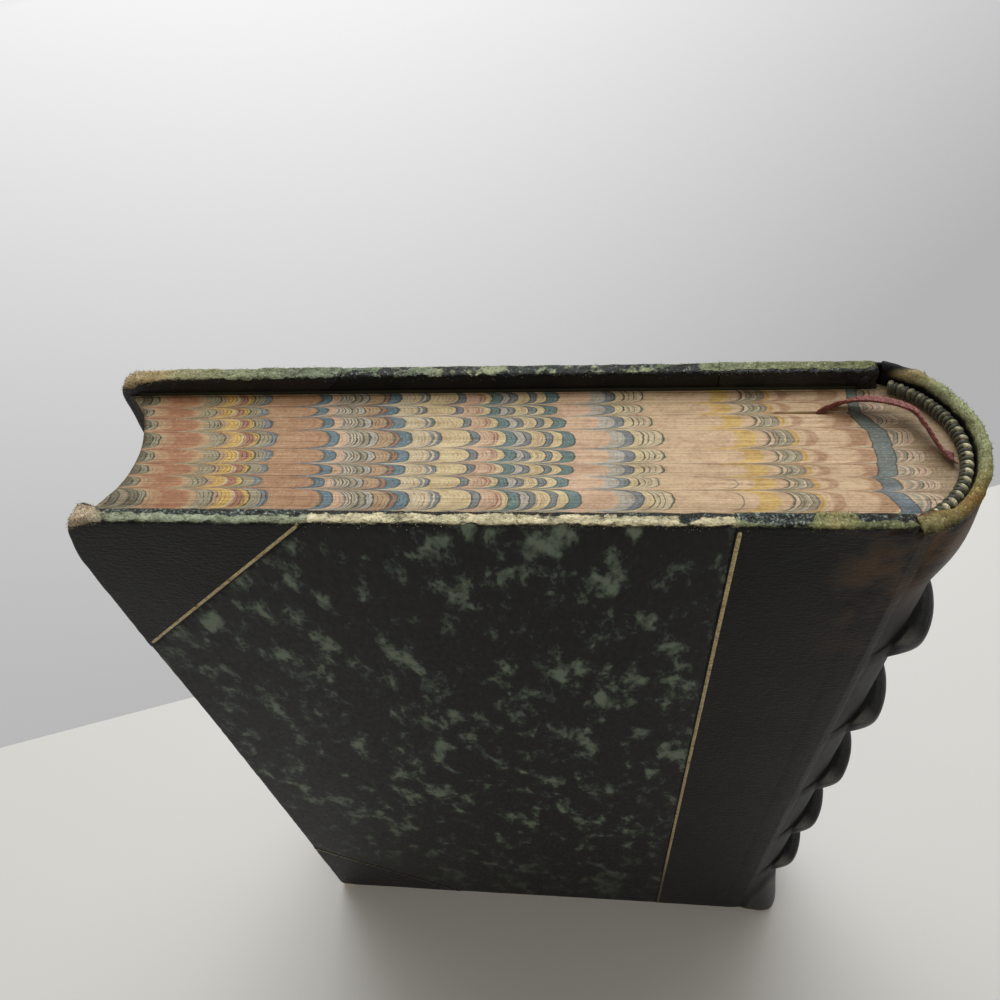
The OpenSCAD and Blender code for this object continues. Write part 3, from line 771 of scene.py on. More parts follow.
def worn_edges(f, skin, rough, reach, bare, scuff, colours):
    """The skin with its worn head and tail edges: the colour, and how rough it is.

    reach draws how deep the wear goes below the outer face, bare how whole it is, scuff how
    far the skin beside it is rubbed, and colours is a ramp along x, all from the fore-edge
    to the spine.
    """
    x, depth, from_end = edge_place(f)
    fibre = f.noise(1.3, 4.0, 0.62, vector=f.stretch(f.place, (0.7, 1.3, 1.3)), seed=2.0)
    patch = f.noise(4.5, 3.0, 0.6, seed=4.0)
    tufts = f.noise(0.42, 3.0, 0.72, seed=6.0)
    crumbs = f.noise(1.05, 4.0, 0.72, seed=9.0)
    edge = f.sway(f.sway(f.curve(x, reach, 0.0, 4.0), fibre, 2.0), patch, 1.2)
    deep = f.remap(f.minus(edge, depth), -0.14, 0.14)
    near = f.sway(f.sway(from_end, fibre, -0.9), patch, -0.7)
    near = f.minus(near, f.remap(x, fore_x + 8.0, fore_x + 2.5, 0.0, 1.5))
    far_side = f.math("GREATER_THAN", f.parts()[1], 0.0)
    near = f.minus(near, f.times(far_side, f.remap(x, -62.0, fore_x, 0.0, 0.4)))
    close = f.remap(near, 0.62, 0.28)
    holes = f.remap(f.plus(patch, f.curve(x, bare, -0.5, 0.5)), 0.47, 0.53)
    gone = f.times(f.times(deep, close), holes)
    along = along_book(f, colours)
    along = f.mix(f.remap(fibre, 0.38, 0.66), f.mix(0.5, along, tone("646c5c"), "MULTIPLY"), along)
    along = f.mix(f.remap(crumbs, 0.47, 0.36, 0.0, 0.6), along, tone("3b3d30"))
    along = f.mix(f.remap(tufts, 0.52, 0.72, 0.0, 0.5), along, tone("e2dfc6"), "SCREEN")
    along = f.mix(f.remap(tufts, 0.44, 0.28, 0.0, 0.7), along, tone("6a6856"), "MULTIPLY")
    rubbed = f.remap(f.plus(crumbs, f.curve(x, scuff, -0.5, 0.5)), 0.5, 0.62)
    rubbed = f.times(rubbed, close)
    dust = f.ramp(f.remap(tufts, 0.3, 0.72), [(0.0, tone("171917")), (0.4, tone("343b37")),
                                              (0.72, tone("667068")), (1.0, tone("b9bfb0"))])
    edge_skin = f.mix(rubbed, f.mix(0.5, skin, tone("141514")), dust)
    colour = f.mix(close, skin, edge_skin)
    colour = f.mix(gone, colour, along)
    f.bump(f.times(tufts, gone), 0.4, 1.0)
    f.bump(f.times(crumbs, close), 0.5, 1.0)
    rough = f.mix(close, rough, (0.27, 0.27, 0.27, 1.0))
    return colour, f.math("MAXIMUM", rough, f.times(gone, 0.92))


near_wear = (
    [(fore_x, 3.4), (-73, 3.2), (-69, 2.0), (-62, 1.8), (-50, 1.35), (-36, 1.2), (-33.9, 2.0),
     (0, 2.2), (22, 2.1), (33.7, 1.9), (34.3, 1.1), (45, 1.0), (46.2, 3.3), (51, 3.4), (52.2, 1.1),
     (58, 1.2), (64, 1.5), (back_x, 2.0)],
    [(fore_x, 0.4), (-40, 0.3), (-31, 0.3), (20, 0.3), (24, 0.04), (32, 0.06), (34, 0.1), (45, 0.08),
     (46.5, 0.4), (51.5, 0.3), (53, 0.12), (60, 0.14), (66, 0.2), (back_x, 0.3)],
    [(fore_x, 0.08), (-42, 0.09), (-34, 0.06), (-33, 0.0), (24, 0.0), (33, 0.03), (35, 0.1),
     (48, 0.1), (56, 0.06), (back_x, 0.0)],
    [(fore_x, "efd9be"), (-72.5, "e6cdb0"), (-68, "abb397"), (-55, "abb69b"), (-34.3, "aeb699"),
     (-33.9, "f2e6c0"), (-5, "efe2ba"), (22, "f1e4be"), (33.7, "e2d5ab"), (34.2, "8b9270"),
     (45, "90956a"), (48.5, "b9af78"), (52.5, "8b9068"), (58, "8b9068"), (70, "8d8a5c"),
     (back_x, "94703f")])
far_wear = (
    [(fore_x, 3.3), (-60, 3.1), (-45, 2.9), (-25, 2.8), (0, 2.5), (25, 2.3), (45, 2.4), (60, 2.2),
     (back_x, 2.0)],
    [(fore_x, 0.5), (-60, 0.3), (-45, 0.15), (-28, 0.06), (-20, 0.0), (-5, -0.06), (10, -0.03),
     (25, 0.0), (38, 0.12), (60, 0.14), (back_x, 0.3)],
    [(fore_x, 0.05), (-45, 0.0), (-20, -0.02), (20, -0.02), (45, 0.03), (back_x, 0.0)],
    [(fore_x, "d8c096"), (-70, "c8ae7c"), (-66, "a9a37a"), (-55, "9ba07c"), (-42, "868f76"),
     (-20, "8d9a81"), (-12, "c9cba6"), (0, "a9b392"), (30, "97a07e"), (45, "8f936c"),
     (62, "7f8159"), (back_x, "85855f")])


def hide(name, gloss, *wear_lines):
    """Charcoal calf with a fine creased grain, worn at its edges; the lower part is darker, as painted shade.

    On the near side it is rubbed brown beside the joint, below the head.
    """
    f = Finish(name, roughness=0.5, specular=gloss)
    x, y, z = f.parts()
    grain = f.pebbles(0.62)
    creases = f.noise(1.0, 4.0, 0.7, vector=f.stretch(f.place, (0.45, 0.45, 1.9)), wobble=0.6)
    cloud = f.noise(26.0, 3.0, 0.55, seed=1.0)
    colour = f.mix(f.remap(cloud, 0.3, 0.7), tone("111113"), tone("1a1a1c"))
    colour = f.mix(f.remap(creases, 0.45, 0.72, 0.0, 0.7), colour, tone("2a2a2c"))
    rub = f.times(f.window(x, 52.0, 71.0, 5.0), f.remap(z, 172.0, 216.0))
    rub = f.times(rub, f.math("LESS_THAN", y, 0.0))
    rub = f.times(rub, f.remap(f.noise(9.0, 4.0, 0.6, seed=3.0), 0.38, 0.66))
    colour = f.mix(f.times(rub, 0.75), colour, tone("5b4530"))
    # Painted shade: the leather darkens towards the tail.
    colour = f.mix(f.remap(z, 130.0, 0.0, 0.0, 0.6), colour, tone("0b0b0a"))
    f.bump(grain, 0.09, 1.0)
    f.bump(creases, 0.2, 1.0)
    return f.done(*worn_edges(f, colour, f.remap(creases, 0.3, 0.8, 0.4, 0.58), *wear_lines))


def clouded_paper(name, *wear_lines):
    """Near-black side paper with lacy dark green-grey clouds, rubbed through at the edges."""
    f = Finish(name, roughness=0.6, specular=0.2)
    x, y, z = f.parts()
    grown = f.stretch(f.place, (1.0, 1.0, 0.55))
    blots = f.noise(4.4, 4.0, 0.56, vector=grown, wobble=0.25, seed=7.0)
    lace = f.noise(1.05, 3.0, 0.6, vector=grown, wobble=0.3, seed=3.0)
    sown = f.noise(20.0, 2.0, 0.5, vector=grown, seed=21.0)
    blots = f.sway(f.sway(blots, sown, 0.3), lace, 0.2)
    veins = f.math("ABSOLUTE", f.minus(f.noise(4.5, 3.0, 0.6, vector=grown, wobble=0.4, seed=12.0), 0.5))
    veins = f.times(f.remap(veins, 0.02, 0.006), f.remap(blots, 0.5, 0.56))
    body = f.math("MAXIMUM", f.remap(blots, 0.565, 0.615), f.times(veins, 0.6))
    rim = f.times(f.remap(blots, 0.51, 0.58), f.remap(lace, 0.42, 0.55))
    face = f.remap(f.minus(half_t, f.math("ABSOLUTE", y)), 0.8, 1.6, 1.0, 0.0)
    colour = f.mix(f.times(rim, 0.5), tone("18181a"), tone("454f44"))
    cloud = f.mix(f.remap(blots, 0.59, 0.7), tone("4c564b"), tone("73806f"))
    colour = f.mix(f.times(body, 0.9), colour, cloud)
    # Painted shade: the paper darkens towards the tail.
    colour = f.mix(f.remap(z, 100.0, 5.0, 0.0, 0.75), colour, tone("0c0c0b"))
    colour = f.mix(face, tone("151514"), colour)
    # A painted glare: the paper is lightened towards its lower fore-edge corner.
    painted_glare = f.times(f.remap(z, 120.0, 10.0), f.remap(x, 20.0, -70.0))
    colour = f.mix(f.times(painted_glare, 0.3), colour, tone("3f413d"))
    f.bump(f.noise(0.5, 3.0, 0.6), 0.03, 0.7)
    return f.done(*worn_edges(f, colour, f.remap(lace, 0.3, 0.7, 0.5, 0.62), *wear_lines))


def spine_hide():
    """The same calf on the spine, its headcaps rubbed to green suede, ochre at the near end."""
    f = Finish("leather_spine", roughness=0.36, specular=0.26)
    _, y, z = f.parts()
    x, _, from_end = edge_place(f)
    grain = f.pebbles(0.62)
    creases = f.noise(1.0, 4.0, 0.7, vector=f.stretch(f.place, (0.45, 0.45, 1.7)), wobble=0.6)
    cloud = f.noise(18.0, 3.0, 0.55, seed=1.0)
    radius = from_back_centre(f)
    raised = f.remap(radius, r_out + 0.3, r_out + 1.7)
    colour = f.mix(f.remap(cloud, 0.3, 0.7), tone("0f0f10"), tone("171718"))
    colour = f.mix(f.times(raised, 0.6), colour, tone("222223"))
    # A painted highlight: a grey sheen on the upward-facing side of each band, towards the rear cover.
    angle = f.math("ARCTAN2", y, f.minus(x, arc_x))
    painted_sheen = f.times(f.remap(f.parts(f.facing)[2], 0.1, 0.6), f.window(angle, -0.9, -0.66, 0.12))
    painted_sheen = f.times(painted_sheen, f.remap(radius, r_out - 0.1, r_out + 0.5))
    colour = f.mix(f.times(painted_sheen, 0.8), colour, tone("6e6d68"))
    colour = f.mix(f.remap(creases, 0.45, 0.72, 0.0, 0.7), colour, tone("2c2c2d"))
    rub = f.times(f.remap(y, -2.0, -12.0), f.remap(z, 185.0, 221.0))
    rub = f.times(rub, f.remap(f.noise(7.0, 4.0, 0.6, seed=3.0), 0.34, 0.6))
    colour = f.mix(f.times(rub, 0.85), colour, tone("5f452d"))
    fibre = f.noise(1.2, 4.0, 0.66, seed=2.0)
    patch = f.noise(4.0, 3.0, 0.6, seed=4.0)
    near = f.sway(f.sway(from_end, fibre, -1.6), patch, -1.2)
    gone = f.times(f.remap(near, 2.3, 1.3), f.remap(y, 15.9, 14.8))
    suede = f.ramp(f.remap(y, -half_t, half_t, smooth=False), [
        (0.0, tone("7d7b54")), (0.08, tone("8a7e54")), (0.16, tone("9a7644")), (0.26, tone("8f8556")),
        (0.42, tone("9a9f77")), (0.6, tone("a3a87e")), (0.82, tone("a6ac82")), (0.9, tone("a2926a")),
        (1.0, tone("9a8a60"))])
    pits = f.remap(f.noise(0.5, 3.0, 0.75, seed=6.0), 0.47, 0.3)
    suede = f.mix(f.remap(fibre, 0.3, 0.7), f.mix(0.4, suede, tone("55583c"), "MULTIPLY"), suede)
    suede = f.mix(f.times(pits, 0.85), suede, tone("23231a"))
    suede = f.mix(f.remap(f.noise(0.4, 2.0, 0.7, seed=16.0), 0.55, 0.72, 0.0, 0.5), suede, tone("d6d6ac"))
    colour = f.mix(gone, colour, suede)
    f.bump(grain, 0.08, 0.9)
    f.bump(creases, 0.16, 0.9)
    f.bump(f.times(fibre, gone), 0.5, 1.0)
    f.put(f.shader.inputs["Specular IOR Level"], f.remap(raised, 0.0, 1.0, 0.12, 0.24))
    polish = f.minus(f.remap(creases, 0.3, 0.8, 0.5, 0.62), f.times(raised, 0.16))
    return f.done(colour, f.math("MAXIMUM", polish, f.times(gone, 0.92)))


leather_spine = spine_hide()
leather = {-1: hide("leather_near", 0.12, *near_wear), 1: hide("leather_far", 0.3, *far_wear)}
paper = {-1: clouded_paper("side_paper_near", *near_wear), 1: clouded_paper("side_paper_far", *far_wear)}
print("leather and paper ready")

# %% [markdown]
# Each cover is cut into its leather and paper. The leather of the spine ends at a straight line
# down the cover, a slanting line cuts each corner, and the paper fills what is left between
# them. The paper is drawn in a little, so that the leather lies over its edge.

# %% Cut covers
skin_t, under = 0.32, 0.1
for side, cover in ((-1, "rear"), (1, "front")):
    body = cover + "_cover"
    calf = leather[side]
    flap_cut = ((flap_x, 0), (-1, 0))
    paper_cuts = [((flap_x, 0), (1, 0)), head_cut, tail_cut]
    made = [
        (cover_piece(cover + "_flap", side, [flap_cut], calf, 0.0, skin_t), "spine_flap", "leather"),
        (cover_piece(cover + "_head_corner", side, [keep_head], calf, 0.0, skin_t), "corner_head", "leather"),
        (cover_piece(cover + "_tail_corner", side, [keep_tail], calf, 0.0, skin_t), "corner_tail", "leather"),
        (cover_piece(cover + "_paper_side", side, paper_cuts, paper[side], under, 0.25),
         "side_paper", "side_paper"),
    ]
    for piece, node, slot in made:
        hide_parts(cover + "_" + node)
        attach(piece, body)
        print(piece.name, len(piece.data.polygons), "faces")

# %% [markdown]
# The spine leather is moulded over five cords and turned in at both ends over the headbands.
# Its section is carried up the height: a radius about the centre of the round back, raised
# by a rounded ridge at each band, and rolled over at the headcap. The ridges sink into the
# leather towards the joints, and handling has pressed the tail end outwards near the joint.

# %% Spine leather
def ridges(z, angle):
    """1 on top of each cord and 0 between them, rounded like half an ellipse with a soft foot."""
    ridge = 0.0
    for height in band_heights:
        middle = height + band_lift + 0.12 * np.sin(3.0 * angle + height)
        away = np.abs(z - middle) / band_half
        round_top = np.sqrt(np.maximum(0, 1 - np.minimum(away, 1) ** 2.8))
        foot = 0.1 * np.exp(-np.maximum(away - 0.8, 0) ** 2 * 9) * (away > 0.8) * (1 - round_top)
        ridge = np.maximum(ridge, round_top * 0.97 + foot)
    return ridge


def band_top(angle):
    """Height of a ridge at an angle round the back: a cap that sinks into the leather at 52 degrees.

    It is the lower of the band's own rise and a cylinder about a line 11 mm outside the
    centre of the back, with the corner between the two rounded off.
    """
    drum = 11 * np.cos(angle) + np.sqrt(121 * np.cos(angle) ** 2 + 95.8) - r_out
    room = np.maximum(drum, 0)
    return np.maximum(0, -0.35 * np.log(np.exp(-room / 0.35) + np.exp(-band_rise / 0.35)))


def crushed(z, angle):
    """At the tail the leather beside the rear cover has been pushed outwards."""
    return 5.4 * ease(z, 27.0, 0.0) * np.exp(-((angle + 0.8) / 0.3) ** 2)


def skewed(angle, z):
    """Towards the head the back is fuller than lower down, most on the rear cover's side."""
    near, far = np.maximum(-np.sin(angle), 0), np.maximum(np.sin(angle), 0)
    near = 1.6 * near * (1 - 0.65 * ease(z, board_h - 11, board_h))
    return ease(z, board_h - 30, board_h - 12) * (near + 0.5 * far)


def sunk(angle, z):
    """Beside the rear cover the headcap has sunk, and slopes down to the joint."""
    return 1.0 * ease(-angle, 0.76, 1.06) * ease(z, board_h - 16, board_h - 2)


def spine_radius(p, angle, z):
    """Outer radius: the round back, its bands, the lower leather between them, the crushed tail."""
    turn = np.arccos((spine_x0 - arc_x) / r_out)
    inside = [ease(np.abs(angle), turn, turn * share) for share in (0.9, 0.7, 0.74)]
    ridge = ridges(z, angle)
    from_end = board_h / 2 - np.abs(z - board_h / 2)
    valley = 0.75 * (1 - ridge) * ease(from_end, 11, 24) * inside[1]
    uneven = 0.10 * waves(p, 13.0, 21) + 0.07 * waves(p, 4.0, 22) + crushed(z, angle)
    return r_out + band_top(angle) * ridge - valley + uneven * inside[0] + skewed(angle, z) * inside[2]


def spine_heights():
    """Heights from tail to head, closer together at each band."""
    bands = [z + np.linspace(-4.6, 4.6, 47) for z in band_heights]
    return np.unique(np.concatenate([np.linspace(cap_r, board_h - cap_r, 150)] + bands).round(3))


def spine_leather():
    """The spine's leather as one closed skin, from its section carried round the back.

    The section runs up the outside, over the head, down the inside and round the tail. Each
    point's radius then takes the bands, the wear and the pushed-out tail, and at both ends
    the leather is uneven. Where the headband ends near the rear cover it tucks in under it.
    """
    z = spine_heights()
    turn = np.radians(np.linspace(0, 90, 7)[1:])
    down = turn[::-1][1:]
    cap = (r_out - r_block) / 2
    angle = np.linspace(-1, 1, 105)
    head_r = np.concatenate([r_out - cap + cap * np.cos(turn), r_out - cap - cap * np.cos(down), [r_block]])
    head_z = board_h - cap_r + cap_r * np.concatenate([np.sin(turn), np.sin(down), [0]])
    inside = np.where((z < 13) | (z > board_h - 13), r_block, r_in - 0.02)
    section_r = np.concatenate([np.full(len(z), r_out), head_r[:-1], inside[::-1], head_r[:-1][::-1]])
    section_z = np.concatenate([z, head_z[:-1], z[::-1], board_h - head_z[:-1][::-1]])
    R, A = np.meshgrid(section_r, angle, indexing="ij")
    Z = np.broadcast_to(section_z[:, None], R.shape).copy()
    outer = np.zeros(len(section_r))
    outer[:len(z)] = 1
    k = len(head_r) - 1
    outer[len(z):len(z) + k] = np.linspace(1, 0, k + 1)[:-1]
    outer[-k:] = np.linspace(0, 1, k + 1)[1:]
    outer = outer[:, None]
    end = np.arccos((spine_x0 - arc_x) / R)
    angle_true = A * end
    p = np.stack([arc_x + R * np.cos(angle_true), R * np.sin(angle_true), Z], -1)
    lip = ease(np.abs(Z - board_h / 2), board_h / 2 - 3, board_h / 2)
    loose = np.maximum(outer, ease(np.abs(Z - board_h / 2), board_h / 2 - 14, board_h / 2 - 6))
    R = R + outer * (spine_radius(p, angle_true, Z) - r_out) + (loose - outer) * crushed(Z, angle_true)
    tuck = ease(-angle_true, math.radians(50), math.radians(61)) * ease(Z, page_z1 - 0.5, page_z1 + 1.2)
    R = R + outer * lip * (0.2 * waves(p, 0.9, 23) + 0.22 * waves(p, 2.2, 24)) - (1 - outer) * tuck * 1.9
    Z = Z + lip * np.sign(Z - board_h / 2) * (0.34 * waves(p, 2.6, 25) + 0.2 * waves(p, 0.8, 26) - 0.2)
    Z = np.maximum(Z - sunk(angle_true, Z), 0.02)
    p = np.stack([arc_x + R * np.cos(angle_true), R * np.sin(angle_true), Z], -1)
    nu, nv = p.shape[:2]
    m = len(z)
    quads = [grid_faces(nu, nv, wrap_u=True)]
    lower = np.arange(m - 1)
    mirror = nu - k - 1 - lower
    caps = np.stack([lower, lower + 1, mirror - 1, mirror], -1)
    quads.append(caps[:, ::-1] * nv)
    quads.append(caps * nv + nv - 1)
    return p.reshape(-1, 3), np.concatenate(quads)


spine = weld(make_piece("spine_hide", *spine_leather(), leather_spine), gap=0.0005)
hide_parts("spine_leather")
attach(spine, "book_block")


def cords_under_bands():
    """Five cords as tubes round the back, each as thick as the ridge over it leaves room for."""
    round_cord = np.linspace(0, 2 * np.pi, 16, endpoint=False)
    A, P = np.meshgrid(np.radians(np.linspace(-50, 50, 90)), round_cord, indexing="ij")
    thick = np.clip(0.42 * (band_top(A) + 0.8), 0.1, 1.6)
    r = r_in + 0.02 + thick * (1 + np.cos(P))
    one = np.stack([arc_x + r * np.cos(A), r * np.sin(A), thick * np.sin(P)], -1).reshape(-1, 3)
    points = (one[None] + np.array([0, 0, 1]) * (band_heights[:, None, None] + band_lift)).reshape(-1, 3)
    return points, np.concatenate([grid_faces(90, 16, i * len(one), wrap_v=True) for i in range(5)])


hemp = Finish("hemp_cord", roughness=0.85, specular=0.2)
strands = hemp.noise(0.5, 5.0, 0.7, vector=hemp.stretch(hemp.place, (0.3, 1, 1)))
hemp.bump(strands, 0.2, 0.9)
hemp = hemp.done(hemp.mix(hemp.remap(strands, 0.3, 0.7), tone("8f7a50"), tone("c6b186")))
cords = weld(make_piece("cords", *cords_under_bands(), hemp))
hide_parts("band_cords")
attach(cords, "book_block")

# %% [markdown]
# At each joint the leather runs from the board onto the spine in one piece and bends there.
# A narrow strip lies over both edges: it follows the board on one side and the moulded spine
# on the other, and turns smoothly between them.

# %% Joint strips
def joint_strip(side):
    """A thin strip along the joint: t runs from the board's face onto the round back."""
    z = np.unique(np.concatenate([np.linspace(0.9, board_h - 0.9, 150)]
                                 + [h + np.linspace(-4.6, 4.6, 31) for h in band_heights]).round(3))
    end = math.acos((spine_x0 - arc_x) / r_out)
    t = np.concatenate([np.linspace(-5.5, 0, 23), np.linspace(0, 1, 15)[1:]])
    Z, T = np.meshgrid(z, t, indexing="ij")
    angle = side * (end - np.maximum(T, 0) * math.radians(9.5))
    lift = -0.05 + 0.12 * ease(T, -5.5, -3.2) * ease(T, 1.0, 0.4)
    flat = np.stack([spine_x0 + np.minimum(T, 0) * (spine_x0 - 55.2) / 5.5, T * 0 + side * half_t, Z], -1)
    board = wear(flat, side)
    board[..., 2] = Z
    board[..., 1] += side * lift
    p = np.stack([arc_x + r_out * np.cos(angle), r_out * np.sin(angle), Z], -1)
    r = spine_radius(p, angle, Z) + lift
    back = np.stack([arc_x + r * np.cos(angle), r * np.sin(angle), Z], -1)
    share = ease(T, -1.5, 0.3)[..., None]
    p = board * (1 - share) + back * share
    groove = 0.1 * np.exp(-((T + 0.75) / 1.1) ** 2)
    p[..., 1] -= side * groove
    p[..., 2] -= sunk(angle, Z) * ease(T, -3.0, 0.0)
    return make_piece(("rear" if side < 0 else "front") + "_joint", p.reshape(-1, 3),
                      grid_faces(len(z), len(t), flip=side < 0), leather[side])


for side, cover in ((-1, "rear"), (1, "front")):
    strip = solid(joint_strip(side), 0.3)
    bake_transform(strip)
    print(strip.name, len(strip.data.polygons), "faces")

# %% [markdown]
# Three gilt lines on each cover follow the edge of the leather. A wheel was run along a
# straight-edge over gold leaf, so each line is a narrow strip a hair above the leather, with
# thin gold that has worn through to brown in places.

# %% Gilt lines
def gold_leaf():
    """Thin gold over brown: worn through in places, and darker towards the tail."""
    f = Finish("gilt", roughness=0.42, specular=0.6, Metallic=0.55)
    rub = f.noise(2.0, 4.0, 0.65, seed=2.0)
    colour = f.mix(f.remap(f.noise(0.5, 3.0, 0.7), 0.35, 0.7), tone("9a855a"), tone("dac797"))
    colour = f.mix(f.remap(rub, 0.52, 0.68, 0.0, 0.8), colour, tone("453a28"))
    colour = f.mix(f.remap(f.parts()[2], 62.0, 22.0, 0.0, 0.85), colour, tone("2b2720"))
    f.bump(f.noise(0.6, 2.0, 0.6), 0.08, 0.8)
    return f.done(colour, f.remap(rub, 0.4, 0.7, 0.36, 0.6))


def gilt_strip(side, start, end, across, width):
    """A strip from start to end in x and z; across is the direction of its width."""
    run = np.linalg.norm(np.subtract(end, start))
    s = np.linspace(0, 1, max(8, int(run / 0.8)))[:, None]
    t = np.linspace(0, 1, 7)[None, :]
    x = start[0] + (end[0] - start[0]) * s + across[0] * width * t
    z = start[1] + (end[1] - start[1]) * s + across[1] * width * t
    ends = ease(np.minimum(s, 1 - s) * run, 0.2, 1.6)
    lift = 0.10 * np.sin(np.pi * t) ** 0.7 * ends - 0.03
    p = wear(np.stack([x, side * (half_t + 0 * x), z], -1), side)
    p[..., 0], p[..., 2] = x, z
    p[..., 1] += side * lift
    return p


gilt = gold_leaf()
d, inset = math.sqrt(0.5), 0.8
leg = corner_leg - 0.28
foot_x, toe_x = fore_x + inset, fore_x + leg - inset
for side, cover in ((-1, "rear"), (1, "front")):
    lines = [
        gilt_strip(side, (flap_x + 0.15, inset), (flap_x + 0.15, board_h - inset), (1, 0), 0.85),
        gilt_strip(side, (foot_x, board_h - leg + inset), (toe_x, board_h - inset), (-d, d), 0.8),
        gilt_strip(side, (foot_x, leg - inset), (toe_x, inset), (-d, -d), 0.8)]
    points, quads, n = [], [], 0
    for i, p in enumerate(lines):
        points.append(p.reshape(-1, 3))
        quads.append(grid_faces(p.shape[0], p.shape[1], n, flip=(side < 0) != (i == 1)))
        n += len(points[-1])
    piece = make_piece(cover + "_gilt_lines", np.concatenate(points), np.concatenate(quads), gilt)
    solid(piece, 0.2)
    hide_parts(cover + "_fillets")
    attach(piece, cover + "_cover")
    print(piece.name, n, "points")

# %% [markdown]
# A headband is a cord wound with two silks. Each turn is a plump little ring round the cord,
# made of three threads side by side; cream beads stand out against dark green ones.

# %% Headbands
def silk(name, dark, light, under):
    """Twisted silk: a painted highlight on the top of each turn, and darker where it goes down to the leaves,
    partly soiled and partly painted shade.
    """
    f = Finish(name, roughness=0.45, specular=0.35, Sheen_Weight=0.2)
    _, y, z = f.parts()
    threads = f.noise(0.28, 3.0, 0.65)
    soil = f.noise(2.4, 3.0, 0.6, seed=3.0)
    colour = f.mix(f.remap(threads, 0.3, 0.7), tone(dark), tone(light))
    colour = f.mix(f.remap(soil, 0.45, 0.7, 0.0, 0.6), colour, tone("5d5840"), "MULTIPLY")
    height = f.math("ABSOLUTE", f.minus(z, board_h / 2))
    height = f.sway(height, threads, 0.5)
    reach = f.sway(from_back_centre(f), threads, 0.6)
    # The top of each turn keeps the silk's own colour as a painted highlight, strongest on the rear cover's
    # side; below it the dark under tone is painted shade mixed with soil.
    lit_top = f.times(f.remap(height, 109.4, 109.8), f.remap(reach, r_head - 0.55, r_head - 0.1))
    lit_top = f.times(lit_top, f.remap(y, 8.0, -1.0, 0.25, 1.0))
    colour = f.mix(lit_top, f.mix(f.remap(threads, 0.35, 0.65), tone("1c1d13"), tone(under)), colour)
    f.bump(threads, 0.12, 0.9)
    return f.done(colour)


def silk_turns(centre_z, first, outward, turns=41, reach=66.0):
    """Rings round the cord: w goes along a turn and back inside it, phi round it.

    A turn's radius swells in its middle like an ellipse and has three small threads on it.
    """
    step = math.radians(2 * reach / turns)
    number = np.arange(first, turns, 2)[:, None, None]
    w = np.concatenate([np.linspace(0, 1, 10), np.linspace(1, 0, 3)])[None, :, None]
    phi = np.linspace(0, 2 * np.pi, 18, endpoint=False)[None, None, :]
    outside = (np.arange(13) < 10)[None, :, None]
    plump = np.sqrt(np.maximum(0, 1 - (2 * w - 1) ** 2 * 0.96))
    swell = 1.0 + (0.12 if first == 0 else -0.03) * np.sin(number * 12.9)
    r = np.where(outside, 0.62 + 0.42 * plump * swell + 0.045 * np.abs(np.sin(3 * np.pi * w)) * plump, 0.45)
    if first == 1:
        r = np.where(outside, r * 0.93, r)
    angle = -math.radians(reach) + (number + w + 0.06 * np.sin(number * 5.0) + 0.22 * np.sin(phi)) * step
    droop = 1 + 0.25 * np.maximum(0, -np.sin(phi))
    radius = r_head - r * np.cos(phi) * 1.05
    z = centre_z + outward * r * np.sin(phi) * droop
    p = np.stack(np.broadcast_arrays(arc_x + radius * np.cos(angle), radius * np.sin(angle), z), -1)
    quads = np.concatenate([grid_faces(13, 18, i * 13 * 18, wrap_u=True, wrap_v=True)
                            for i in range(len(number))])
    return p.reshape(-1, 3), quads


# The last tone of each silk is its dark under tone: painted shade mixed with soil.
silks = {"green": silk("silk_green", "23261a", "4d4f36", "34351f"),
         "cream": silk("silk_cream", "a79d72", "e9e2c2", "55542f")}
for place, centre_z, outward in (("head", page_z1 + 1.2, 1), ("tail", page_z0 - 1.2, -1)):
    for first, colour in ((0, "cream"), (1, "green")):
        piece = weld(make_piece(place + "_silk_" + colour + "_turns", *silk_turns(centre_z, first, outward),
                                silks[colour]), gap=0.0005)
        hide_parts(place + "_silk_" + colour)
        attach(piece, "book_block")

# %% [markdown]
# The ribbon marker is glued under the headband, rises over the head edge in a low arch with
# half a twist, and goes down between the leaves. Its silk is folded lengthwise by age, so its
# section is a shallow trough.

# %% Ribbon marker
def ribbon_way():
    """Points along the ribbon and the direction of its width at each.

    It goes up out of the slit and over a low arch to the headband, along a smooth curve
    through the knots, in which each point is a cubic blend of the four knots round it.
    """
    start = np.array([50.7, 9.35, page_z1 - 0.1])
    knots = np.array([start - [0, 0, 4.0], start, [52.8, 9.9, 221.3], [55.8, 10.2, 222.3],
                      [60.0, 9.5, 222.9], [64.4, 7.4, 223.0], [66.1, 4.1, 222.7],
                      [68.2, -0.6, 221.6], [70.2, -1.5, 220.6], [72.3, -1.7, 220.4]])
    sides = np.array([[1, 0, 0], [1, 0, 0], [0.7, 0.5, -0.5], [0.36, 0.72, -0.55],
                      [0.3, 0.78, -0.5], [0.22, 0.8, -0.52], [0.15, 0.8, -0.55],
                      [0.1, 0.85, -0.45], [0, 1, -0.2], [0, 1, 0]], float)
    k = np.repeat(np.arange(1, 8), 14)
    t = np.tile(np.arange(14) / 14, 7)[:, None]
    a, b, c, e = knots[k - 1], knots[k], knots[k + 1], knots[k + 2]
    square, cube = 2 * a - 5 * b + 4 * c - e, 3 * b - a - 3 * c + e
    way = 0.5 * (2 * b + (c - a) * t + square * t ** 2 + cube * t ** 3)
    side = sides[k] * (1 - t) + sides[k + 1] * t
    down = np.array([start + [0, 0, -h] for h in (150.0, 100.0, 60.0, 30.0, 12.0, 4.0)])
    return np.concatenate([down, way]), np.concatenate([np.tile([[1.0, 0, 0]], (6, 1)), side])


